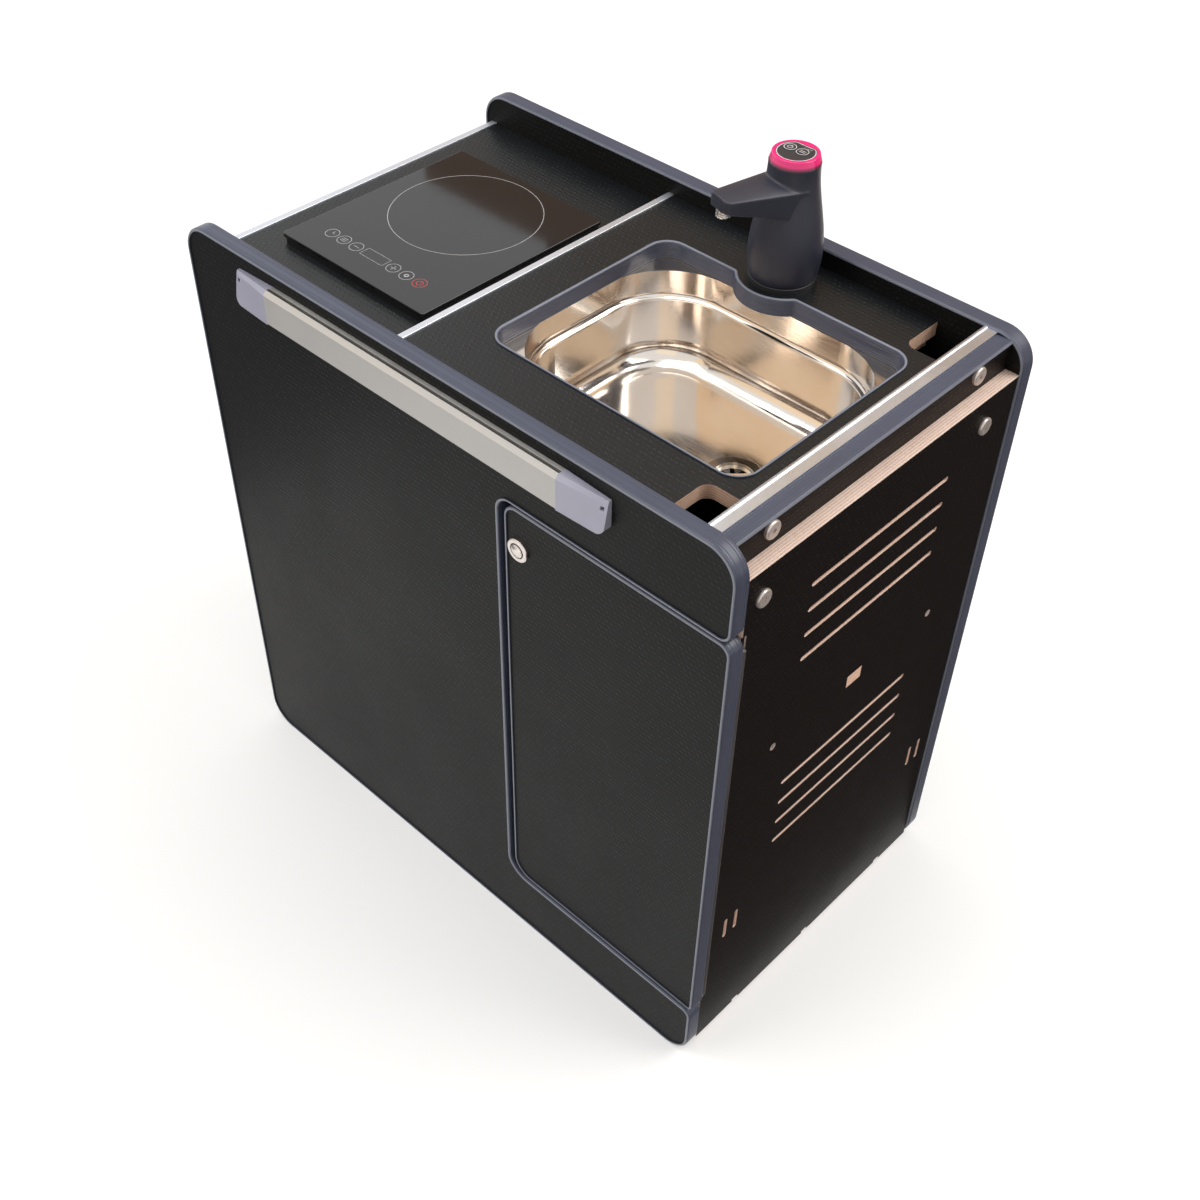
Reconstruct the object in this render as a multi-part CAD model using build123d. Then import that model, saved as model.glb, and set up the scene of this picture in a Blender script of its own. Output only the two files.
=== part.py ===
from build123d import *
import math
import os

os.makedirs("parts", exist_ok=True)

# Sizes in millimetres. X runs along the front, Y back from it, Z up from the floor.
# The Y values below are depths behind the face of the front edge trim.

# Boards and edge trims
BOARD = 15
TRIM_CROWN = 3
TRIM_WIDTH = 18
TRIM_ROUND = 2.2
TRIM_LEG = 3
TRIM_LEG_DEEP = 6
GROOVE_PLAY = 0.15
WIDTH = 708
DEPTH = 423
HEIGHT = 720
PANEL_CORNER = 29
LEFT_SET_IN = 7
OVERHANG = (TRIM_WIDTH - BOARD) / 2
EDGE_X = WIDTH / 2 - TRIM_CROWN
EDGE_TOP = HEIGHT - TRIM_CROWN
FRONT_FACE = OVERHANG
FRONT_BACK = FRONT_FACE + BOARD
REAR_FRONT = DEPTH - OVERHANG - BOARD
END_OUT = EDGE_X
END_IN = END_OUT - BOARD
LEFT_END = LEFT_SET_IN - EDGE_X

# Door opening in the front panel, open to the right
OPEN_WIDE = 267
OPEN_BOTTOM = 81.5
OPEN_TOP_DROP = 90
OPEN_LEFT = END_OUT - OPEN_WIDE
OPEN_TOP = HEIGHT - OPEN_TOP_DROP
OPEN_CORNERS = {"top_left": 18, "bottom_left": 28, "above": 10, "below": 8}

# Table rail on the front
RAIL_PROUD = 11
RAIL_FROM_LEFT = 83
RAIL_FROM_RIGHT = 129
RAIL_DROP = 16
RAIL_TALL = 35
RAIL_CAP = 52
RAIL_WALL = 2
RAIL_BEVEL = 4
RAIL_SOCKET = 4
CAP_DROP = 1.5
CAP_FALL = 2.5
CAP_CORNER = 9
RAIL_LEFT = RAIL_FROM_LEFT - EDGE_X
RAIL_RIGHT = EDGE_X - RAIL_FROM_RIGHT
RAIL_HIGH = HEIGHT - RAIL_DROP
RAIL_LOW = RAIL_HIGH - RAIL_TALL

# Origin below the middle of the whole outline
Y_MIDDLE = (DEPTH - RAIL_PROUD) / 2

# Heights of the worktops and of the upstand at the right end
HOB_TOP_DROP = 51
UPSTAND_RISE = 13.5
UPSTAND_TALL = 77.5
HOB_TOP_LOW = HEIGHT - HOB_TOP_DROP
SINK_TOP_HIGH = HOB_TOP_LOW + 2 * BOARD
UPSTAND_HIGH = SINK_TOP_HIGH + UPSTAND_RISE
UPSTAND_LOW = UPSTAND_HIGH - UPSTAND_TALL
UPSTAND_IN = END_IN - BOARD

# Sink and tap places
SINK_FROM_UPSTAND = 191
TAP_FROM_REAR = 58
TAP_FROM_SINK = (24, 149.4)
SINK_X = UPSTAND_IN - SINK_FROM_UPSTAND
TAP_X = SINK_X - TAP_FROM_SINK[0]
TAP_Y = DEPTH - TAP_FROM_REAR
SINK_Y = TAP_Y - TAP_FROM_SINK[1]
CUTOUT = (304, 250, 24)
TAP_BAY = 43
BAY_FILLET = 8
FLANGE = (325, 265, 30)
PAN_MOUTH = (302, 242, 80)
PAN_SHOULDER = 30
PAN_STEP = 7
PAN_DEEP = 100
PAN_STEEL = 1
PAN_FLOOR_ROUND = 24
GASKET = 2
PAN_TOP = SINK_TOP_HIGH - BOARD - GASKET
PAN_LOW = PAN_TOP - PAN_DEEP - PAN_STEEL
DRAIN_FROM_SINK = (55, 3.6)
DRAIN_X = SINK_X + DRAIN_FROM_SINK[0]
DRAIN_Y = SINK_Y - DRAIN_FROM_SINK[1]
DRAIN_FLANGE = 60
DRAIN_BORE = 44
DRAIN_SEAT = 20.4
STRAINER_PLAY = 0.1
CUP_DEEP = 24
TAIL_LONG = 22
CLIP_SPREAD = 70
CLIP_UNDER = 5
CLIP_OUT = 16
CLIP_HALF = 9
CLIP_THICK = 2
CLIP_SCREW = (4, 2.5)

# Shelf, partition and base
BASE_LOW = 18
SHELF_DROP = 155
SHELF_FRONT = 34
TENON_WIDE = 22.6
TENON_SHIFT = 0.8
TENON_DEEP = 5
PARTITION_DROP = 21
SHELF_LOW = PAN_LOW - SHELF_DROP
PARTITION_TOP = PAN_LOW - PARTITION_DROP
PARTITION_LEFT = OPEN_LEFT - TRIM_CROWN - BOARD
TENON_MID = DEPTH / 2 - TENON_SHIFT
TENON_Y = (TENON_MID - TENON_WIDE / 2, TENON_MID + TENON_WIDE / 2)

# Right end panel with its vents and strap slots
END_LOW = 13
END_TOP = HOB_TOP_LOW + BOARD
VENT_LONG = 200
VENT_HIGH = 5
VENT_PITCH = 30
VENT_MID_Y = DEPTH / 2
VENT_FROM_SHELF = (148.4, -110.3)
STRAP_SLOT = (5, 30)
STRAP_MID_Z = 186.7
STRAP_FRONT = (48.4, 64.8)
STRAP_REAR = (56.2, 39.4)
STRAP_Y = STRAP_FRONT + tuple(DEPTH - y for y in STRAP_REAR)
FLOOR_NOTCH = (10, 4)
NOTCH_FROM_ENDS = (85, 76)
FLOOR_NOTCH_Y = (NOTCH_FROM_ENDS[0], DEPTH / 2 - 3.5, DEPTH - NOTCH_FROM_ENDS[1])
DOOR_GAP = 2.1

# Worktops
SINK_TOP_SIDE = 207.8
SINK_TOP_LEFT = SINK_X - SINK_TOP_SIDE
STRIP = 1.5
STRIP_COVER = 7.5
LAP = 16
NOTCH_WIDE = 62.5
NOTCH_OFF_SINK = (14, 12.4)
NOTCH_ROUND = 11
NOTCH_X = UPSTAND_IN - NOTCH_WIDE
NOTCH_FRONT = SINK_Y - CUTOUT[1] / 2 - NOTCH_OFF_SINK[0]
NOTCH_REAR = SINK_Y + CUTOUT[1] / 2 + NOTCH_OFF_SINK[1]
CLEAT = 15
CLEAT_SHORT = 8

# Side rail and the fixings of the right end
SIDE_RAIL_WIDE = 15.4
SIDE_RAIL_RISE = 6
SIDE_RAIL_LEFT = UPSTAND_IN - SIDE_RAIL_WIDE
SIDE_RAIL_HIGH = UPSTAND_HIGH + SIDE_RAIL_RISE
BEAD = 6.2
SIDE_RAIL_WALL = 1.6
RAIL_BOLT_R = 2.5
BOLT_UNDER_GROOVE = 0.65
RAIL_BOLT_Z = UPSTAND_HIGH - TRIM_LEG_DEEP - GROOVE_PLAY - RAIL_BOLT_R - BOLT_UNDER_GROOVE
BOLT_HEAD = (18, 4)
BOLT_NOSE = 6
RAIL_BOLT_ENDS = (62.7, 68.7)
RAIL_BOLT_Y = (RAIL_BOLT_ENDS[0], DEPTH - RAIL_BOLT_ENDS[1])
END_SCREW_ENDS = (41.7, 64.1)
END_SCREW_Y = (END_SCREW_ENDS[0], DEPTH - END_SCREW_ENDS[1])
END_SCREW_DROP = 31.5
END_SCREW_Z = END_TOP - END_SCREW_DROP
END_SCREW_R = 1.85
END_SCREW_HEAD = 3
END_SCREW_GRIP = 12
SHELF_SCREW_ENDS = (87.6, 89.9)
SHELF_SCREW_Y = (SHELF_SCREW_ENDS[0], DEPTH - SHELF_SCREW_ENDS[1])
SHELF_SCREW_R = 1.55
SHELF_SCREW_HEAD = (4, 2.7)
SHELF_SCREW_GRIP = 34

# Tap
DOCK = (33.5, 5)
STEM = 10
STEM_LONG = 42
HOSE_BORE = 6.4
SWIVEL_PLAY = 0.3
TAP_PROFILE = ((33, 0), (32.2, 60), (25.4, 100), (24.6, 117))
SPOUT_TURN = 16
SPOUT_REACH = 84
SPOUT_ROOT = (26.5, 72, 101.5, 110)
SPOUT_TIP = (14, 94, 105.5, 108)
NOZZLE = (7, 8)
NOZZLE_REACH = 76
NOZZLE_RISE = 93.8
NOZZLE_TOP = SINK_TOP_HIGH + NOZZLE_RISE
LIGHT_RING = (24.8, 22.4, 19, 8)
FACE_FLAT = 15.5
KEY = 6.5
KEY_PROUD = 0.6
KEY_TRAVEL = 0.6
KEY_SPOTS = ((-9, 2.6), (5.2, 2.6))

# Induction hob, in the room between the left end and the sink worktop
HOB_FROM_LEFT = 40.4
HOB_FROM_SINK_TOP = 16.2
HOB_DEEP = 244
HOB_FORWARD = 10.5
HOB_GLASS = 4
HOB_FRAME = 6
HOB_BODY_DROP = 47
HOB_BODY_INSET = 8
HOB_VENT_PITCH = 16
HOB_VENT_SIDE = 40.8
HOB_X = (LEFT_END + HOB_FROM_LEFT, SINK_TOP_LEFT - HOB_FROM_SINK_TOP)
HOB_Y = tuple(DEPTH / 2 - HOB_FORWARD + side * HOB_DEEP / 2 for side in (-1, 1))
HOB_BODY_LOW = HOB_TOP_LOW - HOB_BODY_DROP

# Door
DOOR_INSET = {"left": 11, "low": 7.5, "high": 9.5}
DOOR_LEFT = OPEN_LEFT + DOOR_INSET["left"]
DOOR_LOW = OPEN_BOTTOM + DOOR_INSET["low"]
DOOR_HIGH = OPEN_TOP - DOOR_INSET["high"]
DOOR_CORNERS = (13, 22, 4, 10)
DOOR_SET_BACK = 2
DOOR_FACE = FRONT_FACE + DOOR_SET_BACK
DOOR_BACK = DOOR_FACE + BOARD
HINGE_PROUD = 0.8
HINGE_BEHIND = 4
HINGE_X = END_OUT + HINGE_PROUD
HINGE_Y = DOOR_BACK + HINGE_BEHIND
KNUCKLE = 2.1
HINGE_PIN = 0.8
LEAF = 0.95
HINGE_KNUCKLES = 15
HINGE_END = 8
LOCK_FROM_EDGE = 14.7
LOCK_DROP = 44.4
LOCK_X = DOOR_LEFT + LOCK_FROM_EDGE
LOCK_Z = DOOR_HIGH - LOCK_DROP
ROSETTE = 12.5
ROSETTE_PROUD = 3
BUTTON_SUNK = 2
BUTTON = 8
BUTTON_TRAVEL = 9
BUTTON_SHORT = 3
CASE_DEEP = 24
CASE_HALF = 16
LATCH_TRAVEL = 9
LATCH_BACK = 12
LATCH_THICK = 8
LATCH_HALF = 8
LATCH_PLAY = 0.2
LATCH_REACH = 8
LATCH_TAIL = 8
LATCH_SPARE = 3

# Fridge standing in the left bay, its door facing the open left end
FRIDGE_SIDE_GAP = 5
FRIDGE_HEADROOM = 33
FRIDGE_BACK_GAP = 8
FRIDGE_WALL = 30
FRIDGE_DOOR = 40
FRIDGE_DOOR_IN = 2
FRIDGE_SEAL = 4
FRIDGE_AXIS_IN = (5, 5.5)
FRIDGE_FOOT = 8
FRIDGE_FOOT_R = 15
STEP_LONG = 142
STEP_HIGH = 210
FRIDGE_Y = (FRONT_BACK + FRIDGE_SIDE_GAP, REAR_FRONT - FRIDGE_SIDE_GAP)
FRIDGE_DOOR_FACE = LEFT_END + FRIDGE_DOOR_IN
FRIDGE_X = (FRIDGE_DOOR_FACE + FRIDGE_DOOR + FRIDGE_SEAL, PARTITION_LEFT - FRIDGE_BACK_GAP)
FRIDGE_HIGH = PAN_LOW - FRIDGE_HEADROOM
FRIDGE_LOW = BASE_LOW + BOARD + FRIDGE_FOOT
FRIDGE_AXIS = (FRIDGE_DOOR_FACE + FRIDGE_AXIS_IN[0], FRIDGE_Y[1] - FRIDGE_AXIS_IN[1])
STEP_X = FRIDGE_X[1] - STEP_LONG
SHELF_GLASS = 4
SHELF_NOSE = (8, 12)
SHELF_SPANS = (45, 163)
SHELF_LEDGE = 6
PULL = (24, 16, 120)
PULL_DROP = 128
PULL_FROM_EDGE = 22
HINGE_BRACKET = (4.5, 30, 10, 5)
BRACKET_THICK = 3
BRACKET_PIN = (3, 10)
POT_R = 56
POT_LIFT = 14
POT_HEADROOM = 47
POT_ROUND = 22
TRAY_HALF = 90
TRAY_THICK = 2
TRAY_SHORT = 4
MOUNT_SPREAD = 45
MOUNT_R = 8
PLATE_HALF = 60
PLATE_THICK = 3

# Left fascia above the fridge door
FASCIA_GAP = 14
FASCIA_LOW = FRIDGE_HIGH + FASCIA_GAP

# Water cans, two in a row behind the door
CAN_FROM_SIDES = (13, 14)
CAN_FROM_BOARDS = (17.5, 18.5)
CAN_BETWEEN = 18
CAN_HEADROOM = 73
CAN_SHOULDER = 14
CAN_ROUND = 22
CAN_WALL = 3
CAP_R = 30
CAP_HIGH = 18
HOSE_R = 6
WASTE_HOSE_R = 10
HOSE_WALL = 2
TAP_HOSE_SHIFT = 44
CAN_LEFT = PARTITION_LEFT + BOARD + CAN_FROM_SIDES[0]
CAN_RIGHT = END_IN - CAN_FROM_SIDES[1]
CAN_DEEP = (REAR_FRONT - FRONT_BACK - sum(CAN_FROM_BOARDS) - CAN_BETWEEN) / 2
CAN_Y = (FRONT_BACK + CAN_FROM_BOARDS[0] + CAN_DEEP / 2, REAR_FRONT - CAN_FROM_BOARDS[1] - CAN_DEEP / 2)
CAN_LOW = BASE_LOW + BOARD
CAN_TOP = SHELF_LOW - CAN_HEADROOM
TAP_HOSE_X = TAP_X + TAP_HOSE_SHIFT
WASTE_TAIL_Z = PAN_LOW - CUP_DEEP - 3.5
WASTE_DROP_Y = CAN_Y[0]
TAP_TAIL_Z = SINK_TOP_HIGH - STEM_LONG
CAP_X = {"waste": DRAIN_X, "fresh": TAP_HOSE_X}


def back(depth):
    """Model Y of a depth behind the front trim face"""
    return depth - Y_MIDDLE


def block(x0, x1, y0, y1, z0, z1):
    """Box between two corners"""
    centre = Pos((x0 + x1) / 2, back((y0 + y1) / 2), (z0 + z1) / 2)
    return centre * Box(x1 - x0, y1 - y0, z1 - z0)


def rod_x(x0, x1, y, z, radius):
    """Round bar along X"""
    return Pos((x0 + x1) / 2, back(y), z) * Rot(0, 90, 0) * Cylinder(radius, x1 - x0)


def rod_y(x, y0, y1, z, radius):
    """Round bar along Y"""
    return Pos(x, back((y0 + y1) / 2), z) * Rot(90, 0, 0) * Cylinder(radius, y1 - y0)


def rod_z(x, y, z0, z1, radius):
    """Round bar along Z"""
    return Pos(x, back(y), (z0 + z1) / 2) * Cylinder(radius, z1 - z0)


def outline(corners):
    """Closed outline, each corner given as x, z and its own radius"""
    face = make_face(Polyline(*[(x, z) for x, z, _ in corners], close=True))
    for x, z, radius in corners:
        if radius:
            corner = face.vertices().sort_by_distance((x, z))[0]
            face = fillet(corner, radius)
    return face


def slab(face, front, thick):
    """Upright board from an outline drawn in X and Z"""
    return Pos(0, back(front) + thick, 0) * extrude(Plane.XZ * face, amount=thick)


def layer(face, low, thick):
    """Level board from an outline drawn in X and model Y"""
    return Pos(0, 0, low) * extrude(face, amount=thick)


def ring(face, inner, outer):
    """Band that follows an outline between two offsets"""
    wide = offset(face, outer) if outer else face
    narrow = offset(face, inner) if inner else face
    return wide - narrow


def grooved(board, face, front):
    """Board with the groove that takes the leg of its edge trim"""
    middle = front + BOARD / 2
    thick = TRIM_LEG + 2 * GROOVE_PLAY
    band = ring(face, -TRIM_LEG_DEEP - GROOVE_PLAY, 0)
    return board - slab(band, middle - thick / 2, thick)


def edge_trim(face, front):
    """T-shaped trim round an upright board"""
    crown = slab(offset(face, TRIM_CROWN), front - OVERHANG, TRIM_WIDTH)
    levels = crown.edges().group_by(Axis.Y)
    crown = fillet(levels[0] + levels[-1], TRIM_ROUND)
    crown -= slab(face, front - OVERHANG - 1, TRIM_WIDTH + 2)
    leg = slab(ring(face, -TRIM_LEG_DEEP, 0), front + (BOARD - TRIM_LEG) / 2, TRIM_LEG)
    return crown + leg


def full_outline():
    """Outline of the rear board"""
    r = PANEL_CORNER
    low = TRIM_CROWN
    return outline([
        (-EDGE_X, low, r),
        (EDGE_X, low, r),
        (EDGE_X, EDGE_TOP, r),
        (-EDGE_X, EDGE_TOP, r),
    ])


def front_outline():
    """Outline of the front board, open at the right for the door"""
    r = PANEL_CORNER
    low = TRIM_CROWN
    c = OPEN_CORNERS
    return outline([
        (-EDGE_X, low, r),
        (EDGE_X, low, r),
        (EDGE_X, OPEN_BOTTOM, c["below"]),
        (OPEN_LEFT, OPEN_BOTTOM, c["bottom_left"]),
        (OPEN_LEFT, OPEN_TOP, c["top_left"]),
        (EDGE_X, OPEN_TOP, c["above"]),
        (EDGE_X, EDGE_TOP, r),
        (-EDGE_X, EDGE_TOP, r),
    ])


def door_outline():
    """Outline of the door board"""
    top_left, bottom_left, bottom_right, top_right = DOOR_CORNERS
    return outline([
        (DOOR_LEFT, DOOR_HIGH, top_left),
        (DOOR_LEFT, DOOR_LOW, bottom_left),
        (END_OUT, DOOR_LOW, bottom_right),
        (END_OUT, DOOR_HIGH, top_right),
    ])


def front_board():
    """Front board, cut away for the door"""
    face = front_outline()
    return grooved(slab(face, FRONT_FACE, BOARD), face, FRONT_FACE)


def rear_board():
    """Plain rear board"""
    face = full_outline()
    return grooved(slab(face, REAR_FRONT, BOARD), face, REAR_FRONT)


def end_slot(y, z, long, high):
    """Round-ended slot through the right end panel"""
    shape = SlotOverall(max(long, high), min(long, high), rotation=0 if long > high else 90)
    return extrude(Plane.YZ.offset(END_IN - 1) * Pos(back(y), z) * shape, amount=BOARD + 2)


def end_panel():
    """Right end panel with vents, strap slots and the seats of its fixings"""
    board = block(END_IN, END_OUT, FRONT_BACK, REAR_FRONT, END_LOW, END_TOP)
    for rise in VENT_FROM_SHELF:
        for step in (-1.5, -0.5, 0.5, 1.5):
            board -= end_slot(VENT_MID_Y, SHELF_LOW + rise + step * VENT_PITCH, VENT_LONG, VENT_HIGH)
    for y in STRAP_Y:
        board -= end_slot(y, STRAP_MID_Z, *STRAP_SLOT)
    for y in FLOOR_NOTCH_Y:
        wide, high = FLOOR_NOTCH
        board -= block(END_IN - 1, END_OUT + 1, y - wide / 2, y + wide / 2, END_LOW - 1, END_LOW + high)
    board -= block(END_IN - 1, END_OUT + 1, *TENON_Y, SHELF_LOW, SHELF_LOW + BOARD)
    behind = DOOR_BACK + DOOR_GAP
    opening = (OPEN_BOTTOM - OPEN_CORNERS["below"] - 2, OPEN_TOP + OPEN_CORNERS["above"] + 2)
    foot = (END_LOW - 1, PANEL_CORNER + TRIM_CROWN + 2)
    for low, high in (opening, foot):
        board -= block(END_IN - 1, END_OUT + 1, FRONT_BACK - 1, behind, low, high)
    board -= block(END_IN - 1, END_OUT + 1, REAR_FRONT - OVERHANG - 0.5, REAR_FRONT + 1, *foot)
    rebate = HINGE_X - KNUCKLE - 0.5
    board -= block(rebate, END_OUT + 1, FRONT_BACK, HINGE_Y + KNUCKLE + 0.6, DOOR_LOW - 1, DOOR_HIGH + 1)
    for y in END_SCREW_Y:
        board -= rod_x(END_IN - 1, END_OUT + 1, y, END_SCREW_Z, END_SCREW_R + 0.75)
    for y in SHELF_SCREW_Y:
        board -= rod_x(END_IN - 1, END_OUT + 1, y, SHELF_LOW + BOARD / 2, SHELF_SCREW_R + 0.55)
        board -= rod_x(END_OUT - 3, END_OUT + 1, y, SHELF_LOW + BOARD / 2, SHELF_SCREW_HEAD[0] + 0.1)
    return board


def base_panel():
    """Base board between the front and rear boards"""
    return block(LEFT_END, END_IN, FRONT_BACK, REAR_FRONT, BASE_LOW, BASE_LOW + BOARD)


def partition_panel():
    """Upright board between the fridge bay and the door bay"""
    right = PARTITION_LEFT + BOARD
    return block(PARTITION_LEFT, right, FRONT_BACK, REAR_FRONT, BASE_LOW + BOARD, PARTITION_TOP)


def mid_shelf():
    """Shelf above the water cans, its tenon showing in the end panel"""
    left = PARTITION_LEFT + BOARD
    high = SHELF_LOW + BOARD
    board = block(left, END_IN, SHELF_FRONT, REAR_FRONT, SHELF_LOW, high)
    y0, y1 = TENON_Y
    board += block(END_IN - TENON_DEEP, END_OUT - 0.2, y0 + 0.2, y1 - 0.2, SHELF_LOW + 0.2, high - 0.2)
    board -= rod_z(TAP_HOSE_X, CAN_Y[1], SHELF_LOW - 1, high + 1, HOSE_R + 8)
    board -= rod_z(DRAIN_X, WASTE_DROP_Y, SHELF_LOW - 1, high + 1, WASTE_HOSE_R + 8)
    for y in SHELF_SCREW_Y:
        board -= rod_x(END_IN - SHELF_SCREW_GRIP - 6, END_IN + 1, y, SHELF_LOW + BOARD / 2, SHELF_SCREW_R + 0.05)
    return board


def left_fascia():
    """Board that closes the left end above the fridge"""
    return block(LEFT_END, LEFT_END + BOARD, FRONT_BACK, REAR_FRONT, FASCIA_LOW, HOB_TOP_LOW)


def hob_worktop():
    """Lower worktop with the cut-out for the hob"""
    right = SINK_TOP_LEFT + LAP
    board = block(LEFT_END + STRIP, right, FRONT_BACK, REAR_FRONT, HOB_TOP_LOW, HOB_TOP_LOW + BOARD)
    x0, x1 = HOB_X
    y0, y1 = HOB_Y
    gap = HOB_BODY_INSET - 1
    return board - block(x0 + gap, x1 - gap, y0 + gap, y1 - gap, HOB_TOP_LOW - 1, HOB_TOP_LOW + BOARD + 1)


def end_strip(left, low):
    """Angle strip over the left end of a worktop"""
    top = low + BOARD
    leaf = block(left, left + STRIP_COVER, FRONT_BACK, REAR_FRONT, top, top + STRIP)
    skirt = block(left, left + STRIP, FRONT_BACK, REAR_FRONT, low + 0.2, top + STRIP)
    strip = leaf + skirt
    crest = strip.edges().filter_by(Axis.Y).group_by(Axis.Z)[-1]
    return fillet(crest, 0.6)


def worktop_strips():
    """The two identical angle strips, one on each worktop"""
    return [end_strip(LEFT_END, HOB_TOP_LOW), end_strip(SINK_TOP_LEFT, HOB_TOP_LOW + BOARD)]


def cutout_outline():
    """Sink cut-out with the bay that runs round the tap"""
    wide, deep, radius = CUTOUT
    face = Pos(SINK_X, back(SINK_Y)) * RectangleRounded(wide, deep, radius)
    face -= Pos(TAP_X, back(TAP_Y)) * Circle(TAP_BAY)
    edge = back(SINK_Y) + deep / 2
    half = math.sqrt(TAP_BAY ** 2 - (back(TAP_Y) - edge) ** 2)
    for side in (-1, 1):
        spot = (TAP_X + side * half, edge)
        face = fillet(face.vertices().sort_by_distance(spot)[0], BAY_FILLET)
    return face


def sink_worktop():
    """Upper worktop with the sink cut-out and the two corner hand notches"""
    left = SINK_TOP_LEFT + STRIP
    low = HOB_TOP_LOW + BOARD
    board = block(left, UPSTAND_IN, FRONT_BACK, REAR_FRONT, low, SINK_TOP_HIGH)
    for front, rear in ((0, NOTCH_FRONT), (NOTCH_REAR, DEPTH)):
        notch = block(NOTCH_X, UPSTAND_IN + 20, front, rear, low - 1, SINK_TOP_HIGH + 1)
        corner = notch.edges().filter_by(Axis.Z).group_by(Axis.X)[0]
        inner = corner.sort_by_distance((NOTCH_X, back(VENT_MID_Y), low))[0]
        board -= fillet(inner, NOTCH_ROUND)
    face = cutout_outline()
    board -= layer(face, low - 1, BOARD + 2)
    thick = TRIM_LEG + 2 * GROOVE_PLAY
    band = ring(face, 0, TRIM_LEG_DEEP + GROOVE_PLAY)
    board -= layer(band, low + (BOARD - thick) / 2, thick)
    return board - rod_z(TAP_X, TAP_Y, low - 1, SINK_TOP_HIGH + 1, STEM + 1)


def cutout_trim():
    """T-shaped trim that lines the sink cut-out"""
    low = HOB_TOP_LOW + BOARD
    face = cutout_outline()
    crown = layer(ring(face, -TRIM_CROWN, 0), low - OVERHANG, TRIM_WIDTH)
    leg = layer(ring(face, 0, TRIM_LEG_DEEP), low + (BOARD - TRIM_LEG) / 2, TRIM_LEG)
    inner = crown.edges().group_by(Axis.Z)[-1]
    reach = offset(face, -TRIM_CROWN / 2)
    limit = extrude(Pos(0, 0, low - OVERHANG - 1) * reach, amount=TRIM_WIDTH + 2)
    rim = [e for e in inner if limit.is_inside(e.position_at(0.5) - Vector(0, 0, 1))]
    return fillet(rim, TRIM_ROUND) + leg


def worktop_cleats():
    """Battens under the front and rear edges of the sink worktop"""
    left = SINK_TOP_LEFT + LAP
    high = HOB_TOP_LOW + BOARD
    front = block(left, NOTCH_X - CLEAT_SHORT, FRONT_BACK, FRONT_BACK + CLEAT, HOB_TOP_LOW, high)
    rear = block(left, NOTCH_X - CLEAT_SHORT, REAR_FRONT - CLEAT, REAR_FRONT, HOB_TOP_LOW, high)
    return [front, rear]


def upstand():
    """Upright board along the inner face of the end panel"""
    board = block(UPSTAND_IN, END_IN, FRONT_BACK, REAR_FRONT, UPSTAND_LOW, UPSTAND_HIGH)
    middle = (UPSTAND_IN + END_IN) / 2
    half = TRIM_LEG / 2 + GROOVE_PLAY
    deep = TRIM_LEG_DEEP + GROOVE_PLAY
    board -= block(middle - half, middle + half, FRONT_BACK, REAR_FRONT, UPSTAND_HIGH - deep, UPSTAND_HIGH)
    for y in RAIL_BOLT_Y:
        board -= rod_x(UPSTAND_IN - 1, END_IN + 1, y, RAIL_BOLT_Z, RAIL_BOLT_R + 0.2)
    for y in END_SCREW_Y:
        board -= rod_x(UPSTAND_IN + 2, END_IN + 1, y, END_SCREW_Z, END_SCREW_R + 0.05)
    return board


def upstand_trim():
    """T-shaped trim along the top of the upstand"""
    front = FRONT_BACK + OVERHANG
    rear = REAR_FRONT - OVERHANG
    x0 = UPSTAND_IN - OVERHANG
    crown = block(x0, x0 + TRIM_WIDTH, front, rear, UPSTAND_HIGH, UPSTAND_HIGH + TRIM_CROWN)
    crown = fillet(crown.edges().filter_by(Axis.Y).group_by(Axis.Z)[-1], TRIM_ROUND)
    middle = (UPSTAND_IN + END_IN) / 2
    half = TRIM_LEG / 2
    return crown + block(middle - half, middle + half, front, rear, UPSTAND_HIGH - TRIM_LEG_DEEP, UPSTAND_HIGH)


def side_rail():
    """Extruded rail along the upstand, with a bead that takes hooks"""
    wall = SIDE_RAIL_WALL
    x1 = UPSTAND_IN - OVERHANG - 0.2
    low = SINK_TOP_HIGH
    top = UPSTAND_HIGH + TRIM_CROWN + 0.2
    bead_x = SIDE_RAIL_LEFT + BEAD / 2
    bead_z = SIDE_RAIL_HIGH - BEAD / 2
    web = Pos(x1 - wall / 2, (low + top + wall) / 2) * Rectangle(wall, top - low + wall)
    foot = Pos((x1 + bead_x) / 2, low + wall / 2) * Rectangle(x1 - bead_x, wall)
    flange = Pos((bead_x + UPSTAND_IN) / 2, top + wall / 2) * Rectangle(UPSTAND_IN - bead_x, wall)
    shape = web + foot + flange + Pos(bead_x, bead_z) * Circle(BEAD / 2)
    rail = slab(shape, FRONT_BACK + OVERHANG, REAR_FRONT - FRONT_BACK - 2 * OVERHANG)
    for y in RAIL_BOLT_Y:
        rail -= rod_x(x1 - wall - 1, x1 + 1, y, RAIL_BOLT_Z, RAIL_BOLT_R + 0.1)
    return rail


def rail_bolts():
    """Two bolts through the upstand into the side rail"""
    head_d, head_high = BOLT_HEAD
    bolts = []
    for y in RAIL_BOLT_Y:
        head = rod_x(END_IN, END_IN + head_high, y, RAIL_BOLT_Z, head_d / 2)
        head = fillet(head.edges().group_by(Axis.X)[-1], 2)
        socket = Pos(END_IN + head_high, back(y), RAIL_BOLT_Z) * Rot(0, 90, 0) * extrude(
            RegularPolygon(2.9, 6), amount=-2.5)
        shank = rod_x(UPSTAND_IN - BOLT_NOSE, END_IN + 1, y, RAIL_BOLT_Z, RAIL_BOLT_R)
        bolts.append(head - socket + shank)
    return bolts


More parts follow.
